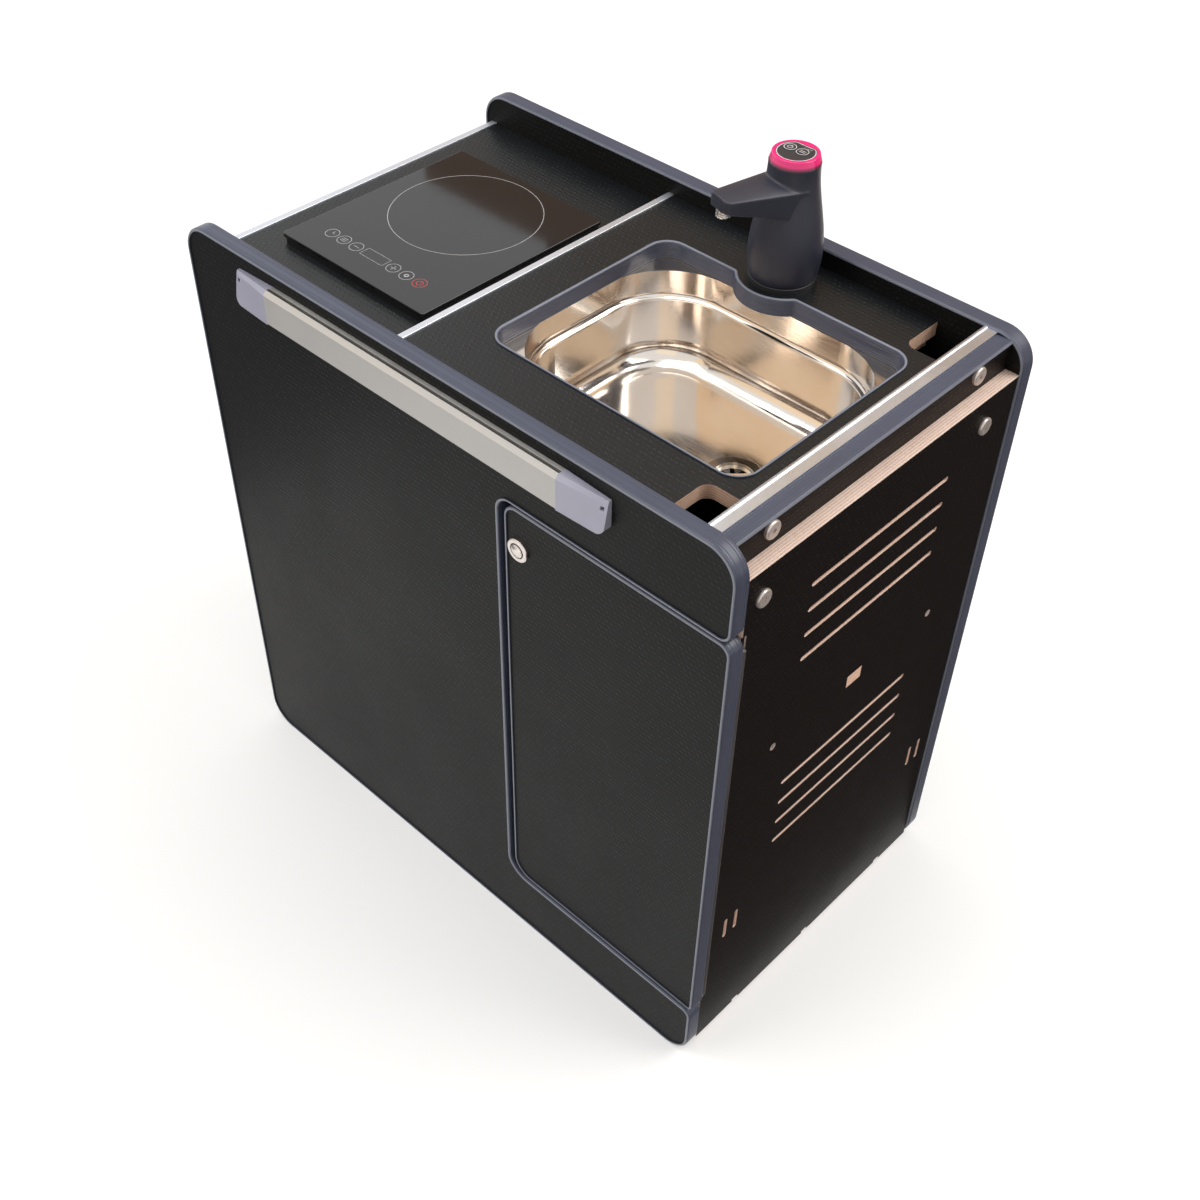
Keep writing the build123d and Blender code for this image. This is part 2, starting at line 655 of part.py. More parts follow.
def cross_cut(x, y, z, span, deep):
    """Cross recess in a screw head that faces +X"""
    bars = block(x - deep, x + 1, y - span / 2, y + span / 2, z - 0.7, z + 0.7)
    return bars + block(x - deep, x + 1, y - 0.7, y + 0.7, z - span / 2, z + span / 2)


def end_screws():
    """Two large pan-head screws that hold the upstand to the end panel"""
    tip = END_OUT + END_SCREW_HEAD
    screws = []
    for y in END_SCREW_Y:
        head = rod_x(END_OUT, tip, y, END_SCREW_Z, BOLT_HEAD[0] / 2)
        head = fillet(head.edges().group_by(Axis.X)[-1], 2)
        head -= cross_cut(tip, y, END_SCREW_Z, 8, 2)
        screws.append(head + rod_x(END_IN - END_SCREW_GRIP, END_OUT + 0.5, y, END_SCREW_Z, END_SCREW_R))
    return screws


def shelf_screws():
    """Two countersunk screws from the end panel into the shelf"""
    z = SHELF_LOW + BOARD / 2
    screws = []
    for y in SHELF_SCREW_Y:
        head_r, head_high = SHELF_SCREW_HEAD
        head = rod_x(END_OUT - 0.2 - head_high, END_OUT - 0.2, y, z, head_r)
        head -= cross_cut(END_OUT - 0.2, y, z, 4.5, 1.5)
        screws.append(head + rod_x(END_IN - SHELF_SCREW_GRIP, END_OUT - 2, y, z, SHELF_SCREW_R))
    return screws


def table_rail():
    """Extruded rail that a hook-on table hangs from"""
    depth = RAIL_PROUD + FRONT_FACE
    top = RAIL_HIGH
    low = RAIL_LOW
    wall = RAIL_WALL
    outer = make_face(Polyline(
        (0, low), (0, top), (-depth + RAIL_BEVEL, top), (-depth, top - RAIL_BEVEL),
        (-depth, low), close=True))
    slot = make_face(Polyline(
        (-wall, top - wall - 3), (-wall, low + wall), (-depth + wall, low + wall),
        (-depth + wall, top - wall - 3), close=True))
    mouth = Pos(-depth / 2, top - 2) * Rectangle(3.4, 8)
    section = outer - slot - mouth
    x0 = RAIL_LEFT + RAIL_CAP
    x1 = RAIL_RIGHT - RAIL_CAP
    rail = Pos(x0, back(FRONT_FACE), 0) * extrude(Plane.YZ * section, amount=x1 - x0)
    return rail


def rail_cap(side):
    """End cap of the table rail, its nose drawn back toward the panel"""
    depth = RAIL_PROUD + FRONT_FACE
    low = RAIL_LOW - CAP_DROP
    nose = RAIL_HIGH - CAP_FALL
    inner = Plane.YZ * make_face(Polyline(
        (0, low), (0, RAIL_HIGH), (-depth + RAIL_BEVEL, RAIL_HIGH),
        (-depth, RAIL_HIGH - RAIL_BEVEL), (-depth, low), close=True))
    outer = Plane.YZ.offset(RAIL_CAP) * make_face(Polyline(
        (0, low), (0, nose), (-3, nose),
        (-4.5, nose - RAIL_BEVEL), (-depth + 2.5, low), close=True))
    cap = loft([inner, outer])
    ends = cap.edges().group_by(Axis.X)[-1]
    foot = [e for e in ends if e.position_at(0.5).Z < low + 1]
    cap = fillet(foot, CAP_CORNER)
    cap -= Pos(RAIL_CAP - 5, -8, RAIL_HIGH - 11) * Box(RAIL_SOCKET, 12, RAIL_SOCKET)
    if side > 0:
        return Pos(RAIL_RIGHT - RAIL_CAP, back(FRONT_FACE), 0) * cap
    return Pos(RAIL_LEFT + RAIL_CAP, back(FRONT_FACE), 0) * mirror(cap, about=Plane.YZ)


def bowl(grow):
    """Solid in the shape of the pan hollow, grown by a wall thickness"""
    wide, deep, radius = PAN_MOUTH
    low = PAN_TOP - PAN_DEEP - grow
    shoulder = PAN_TOP - PAN_SHOULDER - grow
    centre = Pos(SINK_X, back(SINK_Y))
    upper = centre * RectangleRounded(wide + 2 * grow, deep + 2 * grow, radius + grow)
    inset = PAN_STEP - grow
    lower = centre * RectangleRounded(wide - 2 * inset, deep - 2 * inset, radius - inset)
    well = layer(lower, low, shoulder - low + 5)
    well = fillet(well.edges().group_by(Axis.Z)[0], PAN_FLOOR_ROUND + grow)
    mouth = layer(upper, shoulder, PAN_TOP - shoulder)
    mouth = fillet(mouth.edges().group_by(Axis.Z)[0], PAN_STEP - 1.5)
    return well + mouth


def sink_pan():
    """Pressed pan with its flange under the worktop"""
    wide, deep, radius = FLANGE
    rim = Pos(SINK_X, back(SINK_Y)) * RectangleRounded(wide, deep, radius)
    pan = layer(rim, PAN_TOP - PAN_STEEL, PAN_STEEL) + bowl(PAN_STEEL)
    pan -= bowl(0)
    return pan - rod_z(DRAIN_X, DRAIN_Y, PAN_TOP - PAN_DEEP - 5, PAN_TOP - PAN_DEEP + 5, DRAIN_BORE / 2)


def pan_gasket():
    """Flat seal between the pan flange and the worktop"""
    wide, deep, radius = FLANGE
    centre = Pos(SINK_X, back(SINK_Y))
    face = centre * RectangleRounded(wide - 1, deep - 1, radius - 0.5)
    face -= centre * RectangleRounded(wide - 13, deep - 9, radius - 4)
    seal = layer(face, PAN_TOP, GASKET)
    return seal - rod_z(TAP_X, TAP_Y, PAN_TOP - 1, PAN_TOP + 5, STEM + 7)


def pan_clips():
    """Four clips that press the flange up to the worktop"""
    wide, deep, _ = FLANGE
    under = PAN_TOP - PAN_STEEL
    clips = []
    for side in (-1, 1):
        for y in (SINK_Y - CLIP_SPREAD, SINK_Y + CLIP_SPREAD):
            edge = SINK_X + side * wide / 2
            inner, outer = edge - side * CLIP_UNDER, edge + side * CLIP_OUT
            y0, y1 = y - CLIP_HALF, y + CLIP_HALF
            plate = block(*sorted((inner, outer)), y0, y1, under - CLIP_THICK, under)
            pad = block(*sorted((edge + side * 1, outer)), y0, y1, under, PAN_TOP + GASKET)
            screw_r, screw_high = CLIP_SCREW
            low = under - CLIP_THICK
            screw = rod_z(edge + side * CLIP_HALF, y, low - screw_high, low, screw_r)
            clips.append(plate + pad + screw)
    return clips


def drain_flange():
    """Waste flange in the pan floor"""
    floor = PAN_TOP - PAN_DEEP
    plate = rod_z(DRAIN_X, DRAIN_Y, floor, floor + 2, DRAIN_FLANGE / 2)
    plate = fillet(plate.edges().group_by(Axis.Z)[-1], 1.2)
    neck = rod_z(DRAIN_X, DRAIN_Y, floor - 22, floor + 1, DRAIN_BORE / 2 - 0.4)
    seat = rod_z(DRAIN_X, DRAIN_Y, floor - 3, floor + 3, DRAIN_SEAT)
    return plate + neck - seat - rod_z(DRAIN_X, DRAIN_Y, floor - 30, floor + 1, 17)


def waste_cup():
    """Cup drawn up under the pan on the neck of the waste flange"""
    top = PAN_LOW
    floor = top - CUP_DEEP
    cup = rod_z(DRAIN_X, DRAIN_Y, floor - 3, top, DRAIN_BORE / 2 + 4)
    cup += rod_z(DRAIN_X, DRAIN_Y, top - 4, top, DRAIN_FLANGE / 2)
    cup -= rod_z(DRAIN_X, DRAIN_Y, floor, top + 1, DRAIN_BORE / 2 - 0.3)
    tail_r = WASTE_HOSE_R - HOSE_WALL - 0.3
    tail = rod_z(DRAIN_X, DRAIN_Y, floor - 3 - TAIL_LONG, floor - 2, tail_r)
    return cup + tail - rod_z(DRAIN_X, DRAIN_Y, floor - 50, floor + 1, tail_r - 1.7)


def strainer():
    """Spoked strainer that lifts out of the waste flange"""
    floor = PAN_TOP - PAN_DEEP
    cup = rod_z(DRAIN_X, DRAIN_Y, floor - 3, floor + 0.4, DRAIN_SEAT - STRAINER_PLAY)
    cup -= rod_z(DRAIN_X, DRAIN_Y, floor - 1.8, floor + 2, DRAIN_SEAT - 2)
    for turn in range(8):
        spot = Pos(DRAIN_X, back(DRAIN_Y)) * Rot(0, 0, 45 * turn) * Pos(11.5, 0, floor - 2.4)
        cup -= spot * Box(9, 4.4, 4)
    knob = rod_z(DRAIN_X, DRAIN_Y, floor - 2, floor + 2.4, 3.4)
    return cup + fillet(knob.edges().group_by(Axis.Z)[-1], 1)


def bent_tube(points, outer, bore):
    """Hose along a route of straight runs joined by wide bends"""
    radii = []
    for before, here, after in zip(points, points[1:], points[2:]):
        run_in = Vector(*here) - Vector(*before)
        run_out = Vector(*after) - Vector(*here)
        turn = math.radians(run_in.get_angle(run_out))
        radii.append(0.45 * min(run_in.length, run_out.length) / math.tan(turn / 2))
    path = FilletPolyline(*points, radius=radii)
    start = Plane(origin=path @ 0, z_dir=path % 0)
    tube = sweep(start * Circle(outer), path=path)
    hose = tube - sweep(start * Circle(bore), path=path)
    print("route", [round(r, 1) for r in radii], round(path.length, 1), round(tube.volume / (math.pi * outer ** 2), 1))
    return hose


def waste_hose():
    """Hose from the waste tail down to the waste can"""
    return bent_tube([
        (DRAIN_X, back(DRAIN_Y), WASTE_TAIL_Z),
        (DRAIN_X, back(DRAIN_Y), WASTE_TAIL_Z - 46),
        (DRAIN_X, back(WASTE_DROP_Y), SHELF_LOW + 50),
        (DRAIN_X, back(WASTE_DROP_Y), CAN_TOP - 6),
    ], WASTE_HOSE_R, WASTE_HOSE_R - HOSE_WALL)


def tap_hose():
    """Hose from the tap tail down to the fresh can"""
    return bent_tube([
        (TAP_X, back(TAP_Y), TAP_TAIL_Z + 10),
        (TAP_X, back(TAP_Y), TAP_TAIL_Z - 70),
        (TAP_HOSE_X, back(CAN_Y[1]), SHELF_LOW + 60),
        (TAP_HOSE_X, back(CAN_Y[1]), CAN_TOP - 6),
    ], HOSE_R, HOSE_R - HOSE_WALL)


def water_can(y_mid, cap_x):
    """Hollow can with a round neck"""
    y0, y1 = y_mid - CAN_DEEP / 2, y_mid + CAN_DEEP / 2
    top = CAN_TOP - CAN_SHOULDER
    body = block(CAN_LEFT, CAN_RIGHT, y0, y1, CAN_LOW, top)
    body = fillet(body.edges().filter_by(Axis.Z), CAN_ROUND)
    body = fillet(body.edges().group_by(Axis.Z)[-1] + body.edges().group_by(Axis.Z)[0], 8)
    neck = rod_z(cap_x, y_mid, top - 1, CAN_TOP - 2, CAP_R - 4)
    w = CAN_WALL
    hollow = block(CAN_LEFT + w, CAN_RIGHT - w, y0 + w, y1 - w, CAN_LOW + w, top - w)
    hollow = fillet(hollow.edges().filter_by(Axis.Z), CAN_ROUND - w)
    return body + neck - hollow - rod_z(cap_x, y_mid, CAN_TOP - 30, CAN_TOP + 1, CAP_R - 8)


def can_cap(y_mid, cap_x, hose_r):
    """Screw cap with a seal hole for its hose"""
    cap = rod_z(cap_x, y_mid, CAN_TOP - CAP_HIGH + 6, CAN_TOP + 6, CAP_R)
    cap = fillet(cap.edges().group_by(Axis.Z)[-1], 2)
    cap -= rod_z(cap_x, y_mid, CAN_TOP - CAP_HIGH, CAN_TOP - 1.8, CAP_R - 3.9)
    for turn in range(24):
        spot = Pos(cap_x, back(y_mid)) * Rot(0, 0, 15 * turn) * Pos(CAP_R + 0.6, 0, CAN_TOP - 6)
        cap -= spot * Cylinder(1.6, 16)
    return cap - rod_z(cap_x, y_mid, CAN_TOP - 10, CAN_TOP + 10, hose_r + 0.4)


def tap_dock():
    """Fixed foot of the tap with its hollow threaded stem"""
    radius, high = DOCK
    top = SINK_TOP_HIGH
    foot = rod_z(TAP_X, TAP_Y, top, top + high, radius)
    foot = fillet(foot.edges().group_by(Axis.Z)[-1], 1)
    boss = rod_z(TAP_X, TAP_Y, top + high - 1, top + high + 12, 20)
    stem = rod_z(TAP_X, TAP_Y, top - STEM_LONG, top + 1, STEM)
    return foot + boss + stem - rod_z(TAP_X, TAP_Y, top - STEM_LONG - 1, top + high + 20, HOSE_BORE)


def dock_nut():
    """Hexagon nut under the worktop"""
    high = HOB_TOP_LOW + BOARD
    nut = layer(Pos(TAP_X, back(TAP_Y)) * RegularPolygon(13, 6, major_radius=False), high - 9, 9)
    return nut - rod_z(TAP_X, TAP_Y, high - 12, high + 1, STEM + 0.1)


def spout_section(half, low, side, top):
    """Cross-section of the spout with its crowned top"""
    return make_face(
        Polyline((-half, side), (-half, low), (half, low), (half, side))
        + ThreePointArc((half, side), (0, top), (-half, side)))


def tap_body():
    """Tapered column and spout that turn on the dock"""
    base = SINK_TOP_HIGH + DOCK[1] + SWIVEL_PLAY
    profile = [(r, z + base) for r, z in TAP_PROFILE]
    top = profile[-1][1]
    side = Spline(*[(r, z) for r, z in profile])
    section = make_face(side + Polyline(profile[-1], (0, top), (0, base), profile[0]))
    column = revolve(Plane.XZ * section, Axis.Z)
    root = Plane.XZ * spout_section(*SPOUT_ROOT)
    tip = Plane.XZ.offset(SPOUT_REACH) * spout_section(*SPOUT_TIP)
    spout = Pos(0, 0, SINK_TOP_HIGH) * loft([root, tip])
    end = spout.edges().filter_by(Axis.Z).group_by(Axis.Y)[0]
    spout = fillet(end, 8)
    body = column + spout
    body -= Pos(0, 0, base + 6) * Cylinder(20.1, 12.4 + SWIVEL_PLAY * 2)
    body -= Pos(0, -NOZZLE_REACH, NOZZLE_TOP - 5 + 0.1) * Cylinder(NOZZLE[0] + 0.15, 10)
    body -= Pos(0, -NOZZLE_REACH, NOZZLE_TOP) * Cylinder(NOZZLE[0] - 1, 8)
    body -= Pos(0, 0, top) * Cylinder(LIGHT_RING[2] + 0.2, 16)
    return Pos(TAP_X, back(TAP_Y), 0) * Rot(0, 0, -SPOUT_TURN) * body


def tap_nozzle():
    """Outlet set under the tip of the spout"""
    radius, high = NOZZLE
    outlet = Pos(0, 0, -high / 2) * Cylinder(radius, high)
    outlet += Cylinder(radius - 1.1, 6)
    outlet -= Pos(0, 0, -high) * Cylinder(radius - 1.6, 8)
    place = Pos(TAP_X, back(TAP_Y), NOZZLE_TOP) * Rot(0, 0, -SPOUT_TURN) * Pos(0, -NOZZLE_REACH, 0)
    return place * outlet


def tap_top():
    """Height of the top of the tap column"""
    return SINK_TOP_HIGH + DOCK[1] + SWIVEL_PLAY + TAP_PROFILE[-1][1]


def face_outline(radius):
    """Round outline cut flat at the rear"""
    cut = Pos(0, FACE_FLAT + radius) * Rectangle(3 * radius, 2 * radius)
    return Circle(radius) - cut


def light_ring():
    """Coloured ring round the tap face"""
    low_r, high_r, bore, high = LIGHT_RING
    z = tap_top()
    cone = Pos(0, 0, z + high / 2) * Cone(low_r, high_r, high)
    cone = fillet(cone.edges().group_by(Axis.Z)[-1], 1)
    collar = cone - extrude(Pos(0, 0, z - 1) * face_outline(bore), amount=high + 2)
    return Pos(TAP_X, back(TAP_Y), 0) * collar


def tap_face():
    """Face plate with the two key holes, cut flat at the rear"""
    _, _, bore, high = LIGHT_RING
    low = tap_top() - 7.8
    top = tap_top() + high - 0.4
    plug = extrude(Pos(0, 0, low) * face_outline(bore - 0.05), amount=top - low)
    for x, y in KEY_SPOTS:
        plug -= Pos(x, y, top) * Cylinder(KEY + 0.15, 12)
    return Pos(TAP_X, back(TAP_Y), 0) * plug


def tap_key(index):
    """Round key of the tap face"""
    x, y = KEY_SPOTS[index]
    top = tap_top() + LIGHT_RING[3] - 0.4
    low = top - 6 + KEY_TRAVEL + 0.2
    high = top + KEY_PROUD
    key = Pos(TAP_X + x, back(TAP_Y) + y, (low + high) / 2) * Cylinder(KEY, high - low)
    return fillet(key.edges().group_by(Axis.Z)[-1], 0.4)


def hob_glass():
    """Glass plate of the hob"""
    x0, x1 = HOB_X
    y0, y1 = HOB_Y
    low = HOB_TOP_LOW + BOARD + HOB_FRAME
    plate = block(x0, x1, y0, y1, low, low + HOB_GLASS)
    plate = fillet(plate.edges().filter_by(Axis.Z), 6)
    return chamfer(plate.edges().group_by(Axis.Z)[-1], 0.8)


def hob_case():
    """Frame and body of the hob, hanging in its cut-out"""
    x0, x1 = HOB_X
    y0, y1 = HOB_Y
    seat = HOB_TOP_LOW + BOARD
    n = HOB_BODY_INSET
    frame = block(x0 + 1, x1 - 1, y0 + 1, y1 - 1, seat, seat + HOB_FRAME)
    frame = fillet(frame.edges().filter_by(Axis.Z), 5)
    body = block(x0 + n, x1 - n, y0 + n, y1 - n, HOB_BODY_LOW, seat + 1)
    body = fillet(body.edges().filter_by(Axis.Z), 4)
    hollow = block(x0 + n + 2, x1 - n - 2, y0 + n + 2, y1 - n - 2, HOB_BODY_LOW + 2, seat + HOB_FRAME + 1)
    case = frame + body - hollow
    count = round((x1 - x0 - 2 * HOB_VENT_SIDE) / HOB_VENT_PITCH)
    for step in range(count):
        x = x0 + HOB_VENT_SIDE - 0.8 + step * HOB_VENT_PITCH
        case -= block(x, x + 6, y1 - n - 60, y1 - n - 20, HOB_BODY_LOW - 1, HOB_BODY_LOW + 3)
    return case


def door_board():
    """Door board with the bore of its push lock"""
    face = door_outline()
    board = grooved(slab(face, DOOR_FACE, BOARD), face, DOOR_FACE)
    return board - rod_y(LOCK_X, 0, DOOR_BACK + 1, LOCK_Z, ROSETTE - 2)


def door_trim():
    """Edge trim of the door, its leg cut clear of the push lock"""
    trim = edge_trim(door_outline(), DOOR_FACE)
    return trim - rod_y(LOCK_X, DOOR_FACE + 1, DOOR_BACK - 1, LOCK_Z, ROSETTE - 1.5)


def hinge_span():
    """Lower and upper end of the continuous hinge"""
    return DOOR_LOW + HINGE_END, DOOR_HIGH - HINGE_END - 6


def hinge_leaf(index):
    """Leaf of the continuous hinge, 0 on the end panel and 1 on the door"""
    low, high = hinge_span()
    pitch = (high - low) / HINGE_KNUCKLES
    if index == 0:
        back_y = DOOR_BACK + DOOR_GAP
        plate = block(END_IN + 1, HINGE_X - 1.9, back_y - LEAF, back_y, low, high)
        link = block(HINGE_X - 2.6, HINGE_X - 1, back_y - LEAF, HINGE_Y + 0.2, low, high)
    else:
        plate = block(END_IN - 12, END_OUT - 0.1, DOOR_BACK, DOOR_BACK + LEAF, low, high)
        link = block(HINGE_X - 1.5, END_OUT - 0.1, DOOR_BACK + 0.2, HINGE_Y - 1, low, high)
    barrel = rod_z(HINGE_X, HINGE_Y, low, high, KNUCKLE) + link
    gaps = [low + step * pitch for step in range(HINGE_KNUCKLES) if step % 2 != index]
    for z in gaps:
        clear = rod_z(HINGE_X, HINGE_Y, z - 0.15, z + pitch + 0.15, KNUCKLE + 0.35)
        clear += block(HINGE_X - 2.8, HINGE_X + 2, HINGE_Y - 2.9, HINGE_Y + 2.2, z - 0.15, z + pitch + 0.15)
        barrel -= clear
    leaf = plate + barrel
    return leaf - rod_z(HINGE_X, HINGE_Y, low - 1, high + 1, HINGE_PIN)


def hinge_pin():
    """Pin of the continuous hinge"""
    low, high = hinge_span()
    return rod_z(HINGE_X, HINGE_Y, low, high, HINGE_PIN - 0.03)


def lock_rosette():
    """Round plate and sleeve of the push lock"""
    plate = rod_y(LOCK_X, DOOR_FACE - ROSETTE_PROUD, DOOR_FACE, LOCK_Z, ROSETTE)
    plate = fillet(plate.edges().group_by(Axis.Y)[0], 1.4)
    sleeve = rod_y(LOCK_X, DOOR_FACE - 1, DOOR_BACK, LOCK_Z, ROSETTE - 2.1)
    return plate + sleeve - rod_y(LOCK_X, -3, DOOR_BACK + 1, LOCK_Z, BUTTON + 0.2)


def lock_button():
    """Button that pops out to serve as the door knob"""
    front = DOOR_FACE - ROSETTE_PROUD + BUTTON_SUNK
    body = rod_y(LOCK_X, front, DOOR_BACK + BUTTON_TRAVEL - BUTTON_SHORT, LOCK_Z, BUTTON)
    return fillet(body.edges().group_by(Axis.Y)[0], 1)


def lock_case():
    """Case of the push lock on the back of the door"""
    y0 = DOOR_BACK
    y1 = y0 + CASE_DEEP
    room = LOCK_X + LATCH_TAIL + LATCH_TRAVEL + LATCH_SPARE
    half = LATCH_HALF + LATCH_PLAY
    body = block(LOCK_X - ROSETTE - 0.6, room + 2, y0, y1, LOCK_Z - CASE_HALF, LOCK_Z + CASE_HALF)
    body = fillet(body.edges().filter_by(Axis.Y), 3)
    body -= rod_y(LOCK_X, y0 - 1, y0 + LATCH_BACK - 2, LOCK_Z, BUTTON + 0.2)
    pocket = (y0 + LATCH_BACK, y0 + LATCH_BACK + LATCH_THICK + 2 * LATCH_PLAY)
    return body - block(LOCK_X - ROSETTE - 7.5, room, *pocket, LOCK_Z - half, LOCK_Z + half)


def lock_latch():
    """Latch tongue of the push lock"""
    y0 = DOOR_BACK + LATCH_BACK + LATCH_PLAY
    tip_x, tail_x = OPEN_LEFT - LATCH_REACH, LOCK_X + LATCH_TAIL
    tongue = block(tip_x, tail_x, y0, y0 + LATCH_THICK, LOCK_Z - LATCH_HALF, LOCK_Z + LATCH_HALF)
    tip = tongue.edges().filter_by(Axis.Z).group_by(Axis.X)[0].sort_by(Axis.Y)[-1]
    return chamfer(tip, 6)


def lock_keeper():
    """Keeper bracket behind the front board"""
    y0 = FRONT_BACK
    plate = block(OPEN_LEFT - 34, OPEN_LEFT - 4, y0, y0 + 2, LOCK_Z - 14, LOCK_Z + 14)
    rear = DOOR_BACK + LATCH_BACK - LATCH_PLAY
    riser = block(OPEN_LEFT - 15, OPEN_LEFT - 4, y0 + 1, rear, LOCK_Z - 12, LOCK_Z + 12)
    return plate + riser


def fridge_cabinet():
    """Insulated cabinet, stepped at the rear foot for the compressor"""
    y0, y1 = FRIDGE_Y
    x0, x1 = FRIDGE_X
    low = FRIDGE_LOW
    w = FRIDGE_WALL
    body = block(x0, x1, y0, y1, low, FRIDGE_HIGH)
    body -= block(STEP_X, x1 + 1, y0 - 1, y1 + 1, low - 1, STEP_HIGH)
    body = fillet(body.edges().filter_by(Axis.X).group_by(Axis.Z)[-1], 6)
    body -= block(x0 - 1, x1 - w, y0 + w, y1 - w, STEP_HIGH + w, FRIDGE_HIGH - w)
    body -= block(x0 - 1, STEP_X - w, y0 + w, y1 - w, low + w, STEP_HIGH + w + 1)
    for z in fridge_shelf_levels():
        for side in (y0 + w, y1 - w - SHELF_LEDGE):
            body += block(x0 + 8, STEP_X - w - 6, side, side + SHELF_LEDGE, z - SHELF_LEDGE, z)
    for x in (x0 + 30, STEP_X - 30):
        for y in (y0 + 40, y1 - 40):
            body += rod_z(x, y, low - FRIDGE_FOOT, low + 1, FRIDGE_FOOT_R)
    return body


def fridge_shelf_levels():
    """Heights of the undersides of the two fridge shelves"""
    lower, upper = SHELF_SPANS
    return STEP_HIGH + lower, FRIDGE_HIGH - upper


def fridge_shelves():
    """Two glass shelves with the cabinet"""
    y0, y1 = FRIDGE_Y
    x0, _ = FRIDGE_X
    w = FRIDGE_WALL
    plates = []
    for z in fridge_shelf_levels():
        nose, rise = SHELF_NOSE
        plate = block(x0 + 10, STEP_X - w - 4, y0 + w + 1, y1 - w - 1, z, z + SHELF_GLASS)
        plate += block(x0 + 8, x0 + 8 + nose, y0 + w + 1, y1 - w - 1, z, z + rise)
        plates.append(plate)
    return plates


def fridge_door():
    """Insulated door with a recessed pull"""
    y0, y1 = FRIDGE_Y
    face = FRIDGE_DOOR_FACE
    low = FRIDGE_LOW
    door = block(face, face + FRIDGE_DOOR, y0, y1, low, FRIDGE_HIGH)
    door = fillet(door.edges().filter_by(Axis.Z).group_by(Axis.X)[0], 4)
    wide, deep, high = PULL
    near = y0 + PULL_FROM_EDGE
    top = FRIDGE_HIGH - PULL_DROP
    pull = block(face - 1, face + deep, near, near + wide, top - high, top)
    pull = fillet(pull.edges().filter_by(Axis.X), 8)
    door -= pull
    x, y = FRIDGE_AXIS
    for z in (low, FRIDGE_HIGH):
        door -= rod_z(x, y, z - BRACKET_PIN[1] - 2, z + BRACKET_PIN[1] + 2, BRACKET_PIN[0] + 0.05)
    return door


def fridge_gasket():
    """Magnetic seal on the inner face of the fridge door"""
    y0, y1 = FRIDGE_Y
    x = FRIDGE_DOOR_FACE + FRIDGE_DOOR
    low = FRIDGE_LOW
    seal = block(x, FRIDGE_X[0] - 0.3, y0 + 8, y1 - 12, low + 8, FRIDGE_HIGH - 8)
    inner = block(x - 1, x + 9, y0 + 20, y1 - 24, low + 20, FRIDGE_HIGH - 20)
    return seal - inner


def fridge_hinges():
    """Two brackets whose pins carry the fridge door"""
    x, y = FRIDGE_AXIS
    past, grip, near, far = HINGE_BRACKET
    pin_r, pin_long = BRACKET_PIN
    brackets = []
    for z, way in ((FRIDGE_LOW, -1), (FRIDGE_HIGH, 1)):
        z0, z1 = sorted((z + way * 0.5, z + way * BRACKET_THICK))
        plate = block(x - past, FRIDGE_X[0] + grip, y - near, y + far, z0, z1)
        tab0, tab1 = sorted((z, z + way * BRACKET_THICK))
        plate += block(FRIDGE_X[0], FRIDGE_X[0] + grip, y - near, y + far, tab0, tab1)
        p0, p1 = sorted((z - way * pin_long, z + way * 1))
        brackets.append(plate + rod_z(x, y, p0, p1, pin_r))
    return brackets


def compressor():
    """Compressor on its tray behind the fridge"""
    floor = BASE_LOW + BOARD
    x = (STEP_X + FRIDGE_X[1]) / 2
    y = sum(FRIDGE_Y) / 2
    tray = block(STEP_X + TRAY_SHORT, FRIDGE_X[1], y - TRAY_HALF, y + TRAY_HALF, floor, floor + TRAY_THICK)
    pot = rod_z(x, y, floor + POT_LIFT, STEP_HIGH - POT_HEADROOM, POT_R)
    pot = fillet(pot.edges(), POT_ROUND)
    unit = tray + pot
    high = floor + POT_LIFT + 2 * PLATE_THICK
    for dx in (-MOUNT_SPREAD, MOUNT_SPREAD):
        for dy in (-MOUNT_SPREAD, MOUNT_SPREAD):
            unit += rod_z(x + dx, y + dy, floor + 1, high, MOUNT_R)
    unit += block(x - PLATE_HALF, x + PLATE_HALF, y - PLATE_HALF, y + PLATE_HALF, high - PLATE_THICK, high)
    return unit


